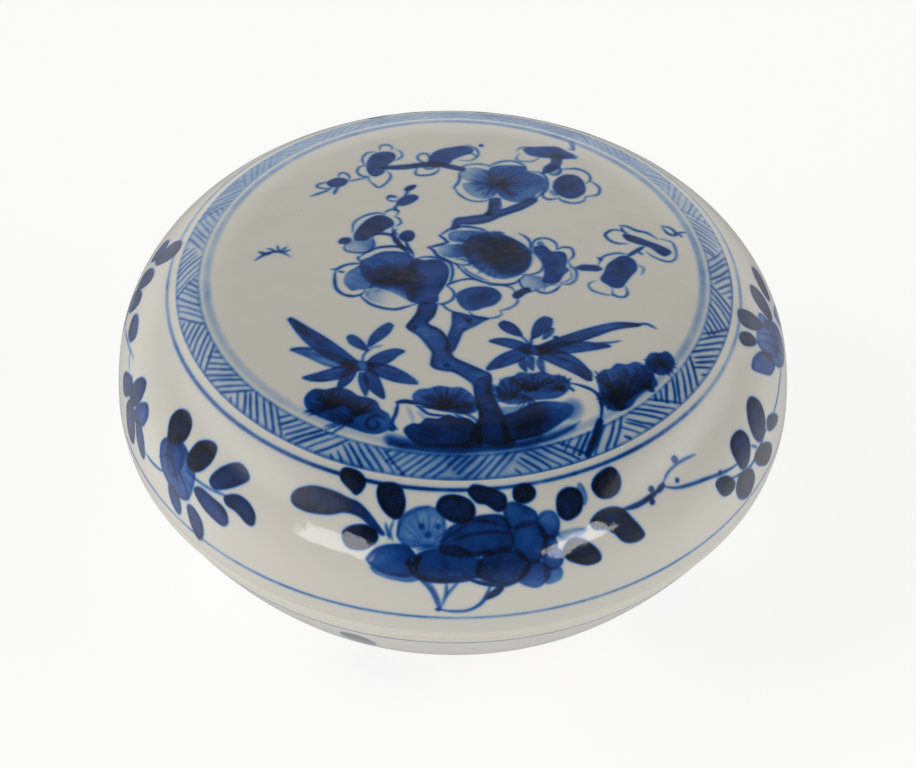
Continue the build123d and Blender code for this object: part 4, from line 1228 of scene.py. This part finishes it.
def glazedPorcelain():
    # hard-paste porcelain dipped in clear glaze over cobalt: the eye sees a deep even gloss with a
    # faint ripple, blue that is soft at its edges and uneven where the wash pooled
    material, tree, pattern = newMaterial("glazed_porcelain")
    ink = addNode(tree, "ShaderNodeAttribute", {"attribute_name": "cobalt", "attribute_type": "GEOMETRY"})
    # brush washes cloud over, and the ground pigment shows as a fine grain
    cloud = pattern("ShaderNodeTexNoise", clay["cloudSize"], Detail=3.0, Roughness=0.6)
    grain = pattern("ShaderNodeTexNoise", clay["grainSize"], Detail=2.0)
    cloudShift = addNode(tree, "ShaderNodeMath", {"operation": "MULTIPLY_ADD"},
                         {0: (cloud, "Fac"), 1: 0.24, 2: 0.82})
    grainShift = addNode(tree, "ShaderNodeMath", {"operation": "MULTIPLY_ADD"},
                         {0: (grain, "Fac"), 1: 0.22, 2: 0.97})
    uneven = addNode(tree, "ShaderNodeMath", {"operation": "MULTIPLY"},
                     {0: (cloudShift, "Value"), 1: (grainShift, "Value")})
    strength = addNode(tree, "ShaderNodeMath", {"operation": "MULTIPLY", "use_clamp": True},
                       {0: (ink, "Fac"), 1: (uneven, "Value")})
    ramp = addNode(tree, "ShaderNodeValToRGB", None, {"Fac": (strength, "Value")})
    setRamp(ramp, clay["cobalt"])
    # thick glaze on the rims looks creamy and is painted lighter there as a highlight on their rounded
    # edges, and a few iron specks show through
    rim = addNode(tree, "ShaderNodeAttribute", {"attribute_name": "creamAndHighlight", "attribute_type": "GEOMETRY"})
    creamAndHighlightColour = addNode(tree, "ShaderNodeMix", {"data_type": "RGBA", "blend_type": "MIX"},
                     {0: (rim, "Fac"), 6: (ramp, "Color"), 7: linearColour(clay["glazeEdgeAndHighlight"])})
    speck = pattern("ShaderNodeTexVoronoi", clay["speckSpacing"], Randomness=1.0)
    inSpeck = addNode(tree, "ShaderNodeMapRange", {"interpolation_type": "SMOOTHSTEP"},
                      {"Value": (speck, "Distance"), "From Min": 0.022, "From Max": 0.01, "To Min": 0.0,
                       "To Max": 0.55})
    coloured = addNode(tree, "ShaderNodeMix", {"data_type": "RGBA", "blend_type": "MIX"},
                       {0: (inSpeck, "Result"), 6: (creamAndHighlightColour, 2), 7: linearColour(clay["speck"])})
    # the glaze ripples very slightly
    ripple = pattern("ShaderNodeTexNoise", clay["rippleSize"], Detail=3.0, Roughness=0.45)
    bump = addNode(tree, "ShaderNodeBump", None,
                   {"Height": (ripple, "Fac"), "Strength": 0.32, "Distance": 0.6 * mm})
    surface = addNode(tree, "ShaderNodeBsdfPrincipled", None, {
        "Base Color": (coloured, 2), "Normal": (bump, "Normal"), "Roughness": 0.09, "IOR": clay["glazeIor"],
        "Specular IOR Level": 0.5})
    addNode(tree, "ShaderNodeOutputMaterial", None, {"Surface": (surface, "BSDF")})
    return material


def bareFiredClay():
    # the same porcelain left unglazed where the pieces met in the kiln: matt, warmer and finely gritty
    material, tree, pattern = newMaterial("bare_porcelain")
    grit = pattern("ShaderNodeTexNoise", clay["gritSize"], Detail=4.0)
    ramp = addNode(tree, "ShaderNodeValToRGB", None, {"Fac": (grit, "Fac")})
    setRamp(ramp, clay["bare"])
    bump = addNode(tree, "ShaderNodeBump", None,
                   {"Height": (grit, "Fac"), "Strength": 0.4, "Distance": 0.08 * mm})
    surface = addNode(tree, "ShaderNodeBsdfPrincipled", None, {
        "Base Color": (ramp, "Color"), "Normal": (bump, "Normal"), "Roughness": 0.75, "IOR": 1.5})
    addNode(tree, "ShaderNodeOutputMaterial", None, {"Surface": (surface, "BSDF")})
    return material


def giveValues(piece, name, values):
    layer = piece.data.attributes.new(name, "FLOAT", "POINT")
    layer.data.foreach_set("value", values.astype(np.float32))


def paintCover(shell, points):
    # the panel's painting over the top, the wall's from its edge down, and creamy thick glaze by the rim,
    # painted lighter as a highlight on the rolled lip
    along, radius, azimuth = points["along"], points["radius"], points["azimuth"]
    onPanel = inkAt(panelCanvas, *polar(radius, azimuth).T)
    onWall = inkAt(wallCanvas, azimuth * degreeWidth, along)
    ink = np.where(along < cover["panelEnd"], onPanel, onWall)
    giveValues(shell, "cobalt", np.where(along > cover["blueEnd"], 0, ink))
    # lighter from the groove down over the rolled lip: creamy thick glaze with a painted highlight on the
    # rounded edge
    creamAndHighlight = 0.7 * np.clip((along - cover["groove"]) / 0.7, 0, 1)
    giveValues(shell, "creamAndHighlight", creamAndHighlight * (along < cover["glazeEnd"]) * (radius > rimRadius))


def paintBase(shell, points):
    radius, level, azimuth = points["radius"], points["level"], points["azimuth"]
    topRadius, topLevel = base["haunchTop"]
    haunch = points["along"][np.argmin(abs(radius - topRadius) + abs(level - topLevel))]
    below = points["along"] - haunch
    ink = inkAt(baseCanvas, azimuth * degreeWidth, np.clip(below, -0.9, base["blueDepth"]))
    giveValues(shell, "cobalt", np.where((below > -0.8) & (radius > base["blueEnd"]), ink, 0))
    # the base's rounded top edge gets the same cream with its painted highlight
    giveValues(shell, "creamAndHighlight", 0.8 * np.clip((0.3 - below) / 0.8, 0, 1) * (radius > rimRadius))


for canvas in (panelCanvas, wallCanvas, baseCanvas):
    for size, depth in brushwork["mottling"]:
        mottle(canvas, size, depth)
    bleed(canvas)
coverShell, coverPoints = buildCover()
paintCover(coverShell, coverPoints)
baseShell, basePoints = buildBase()
paintBase(baseShell, basePoints)

glaze, bare = glazedPorcelain(), bareFiredClay()
for shell, node in ((coverShell, "cover"), (baseShell, "base")):
    shell.data.materials.append(glaze)
    shell.data.materials.append(bare)
    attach(shell, node)
    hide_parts(node)
print("shells placed")


# The studio, in millimetres and degrees

studio = {
    "distance": 495.3,
    "sight": 42.82,  # how far above the table the camera stands, seen from the box
    "tilt": 43.03,
    "roll": 1.07,
    "aim": (0.87, 0.0, 26.2),
    "lens": 117.9,
    "sensor": 36.0,
}
whiteCard = {
    "colour": "#8C8C8A",
    "glow": "#FFFFFF",
    "glowStrength": 0.8,
    "halfWidth": 3.0,  # metres
    "drop": 0.1,  # a hair below the foot, so that the two don't share a plane
}
# places in metres; aim is the point on the box that each one faces, in millimetres; power in watts
softLights = {
    "window_left": {"place": (-0.131, -0.214, 0.052), "aim": (-20, -52, 38), "size": (0.085, 0.066),
                    "power": 0.1, "spin": -8},
    "window_right": {"place": (0.144, -0.203, 0.056), "aim": (20, -52, 38), "size": (0.085, 0.045),
                     "power": 0.085, "spin": 24},
}
# each row: the axis looked along, where the glow starts and is full, how bright it is, and the heights
# between which it comes in; the last row takes light away, below the horizon behind the box
studioAir = [
    ("X", -0.36, -0.87, 2.85, 0.16, 0.6),
    ("X", 0.58, 0.94, 3.5, 0.16, 0.58),
    ("Y", 0.2, 0.9, 1.2, 0.86, 0.36),
    ("X", -0.5, -0.9, 0.5, 0.4, 0.1),
    ("X", 0.5, 0.9, 0.4, 0.4, 0.1),
    ("Z", 0.05, -0.6, 0.64, 0.1, 0.0),
    ("Y", 0.2, 0.9, -1.45, 0.1, -0.5),
]
airColour = "#F6F6F6"
airEverywhere = 0.06


def addCamera():
    camera = bpy.data.objects.new("camera", bpy.data.cameras.new("camera"))
    bpy.context.scene.collection.objects.link(camera)
    camera.data.lens = studio["lens"]
    camera.data.sensor_width = studio["sensor"]
    camera.data.dof.use_dof = False
    sight = math.radians(studio["sight"])
    place = Vector((studio["aim"][0], -studio["distance"] * math.cos(sight),
                    studio["aim"][2] + studio["distance"] * math.sin(sight))) * mm
    turn = Matrix.Rotation(math.radians(90 - studio["tilt"]), 4, "X")
    roll = Matrix.Rotation(math.radians(studio["roll"]), 4, "Z")
    camera.matrix_world = Matrix.Translation(place) @ turn @ roll
    bpy.context.scene.camera = camera


def addSoftLight(name, place, aim, size, power, spin):
    light = bpy.data.lights.new(name, "AREA")
    light.shape = "RECTANGLE"
    light.size, light.size_y = size
    light.energy = power
    holder = bpy.data.objects.new(name, light)
    holder.location = place
    turn = (Vector(place) - Vector(aim) * mm).to_track_quat("Z", "Y").to_matrix()
    holder.rotation_euler = (turn @ Matrix.Rotation(math.radians(spin), 3, "Z")).to_euler()
    holder.visible_camera = False
    bpy.context.scene.collection.objects.link(holder)


def addFloor():
    mesh = bpy.data.meshes.new("floor")
    side, level = whiteCard["halfWidth"], -whiteCard["drop"] * mm
    corners = [(-side, -side, level), (side, -side, level), (side, side, level), (-side, side, level)]
    mesh.from_pydata(corners, [], [(0, 1, 2, 3)])
    floor = bpy.data.objects.new("floor", mesh)
    bpy.context.scene.collection.objects.link(floor)
    material = bpy.data.materials.new("white_card")
    material.use_nodes = True
    surface = material.node_tree.nodes["Principled BSDF"]
    surface.inputs["Base Color"].default_value = linearColour(whiteCard["colour"])
    surface.inputs["Roughness"].default_value = 0.9
    surface.inputs["Specular IOR Level"].default_value = 0.1
    surface.inputs["Emission Color"].default_value = linearColour(whiteCard["glow"])
    surface.inputs["Emission Strength"].default_value = whiteCard["glowStrength"]
    mesh.materials.append(material)
    # so bright a card would light the box from below, and mirror in the glaze
    floor.visible_diffuse = False
    floor.visible_glossy = False


def addWorld():
    # big soft windows on the left and right, a pale wall behind, and light thrown up from below
    world = bpy.data.worlds.new("studio_air")
    bpy.context.scene.world = world
    world.use_nodes = True
    tree = world.node_tree
    background = tree.nodes["Background"]
    background.inputs["Color"].default_value = linearColour(airColour)
    sky = addNode(tree, "ShaderNodeTexCoord")
    way = addNode(tree, "ShaderNodeSeparateXYZ", None, {"Vector": (sky, "Generated")})

    def band(axis, start, end, height):
        return addNode(tree, "ShaderNodeMapRange", {"interpolation_type": "SMOOTHSTEP"},
                       {"Value": (way, axis), "From Min": start, "From Max": end, "To Min": 0.0,
                        "To Max": height})

    total = None
    for axis, start, end, height, low, high in studioAir:
        glow = band(axis, start, end, height)
        rise = band("Z", low, high, 1.0)
        part = addNode(tree, "ShaderNodeMath", {"operation": "MULTIPLY"},
                       {0: (glow, "Result"), 1: (rise, "Result")})
        total = addNode(tree, "ShaderNodeMath", {"operation": "ADD"},
                        {0: (part, "Value"), 1: (total, "Value") if total else airEverywhere})
    tree.links.new(total.outputs["Value"], background.inputs["Strength"])


addCamera()
addFloor()
addWorld()
for name, light in softLights.items():
    addSoftLight(name, **light)
bpy.context.scene.view_settings.view_transform = "Standard"
print("studio ready")
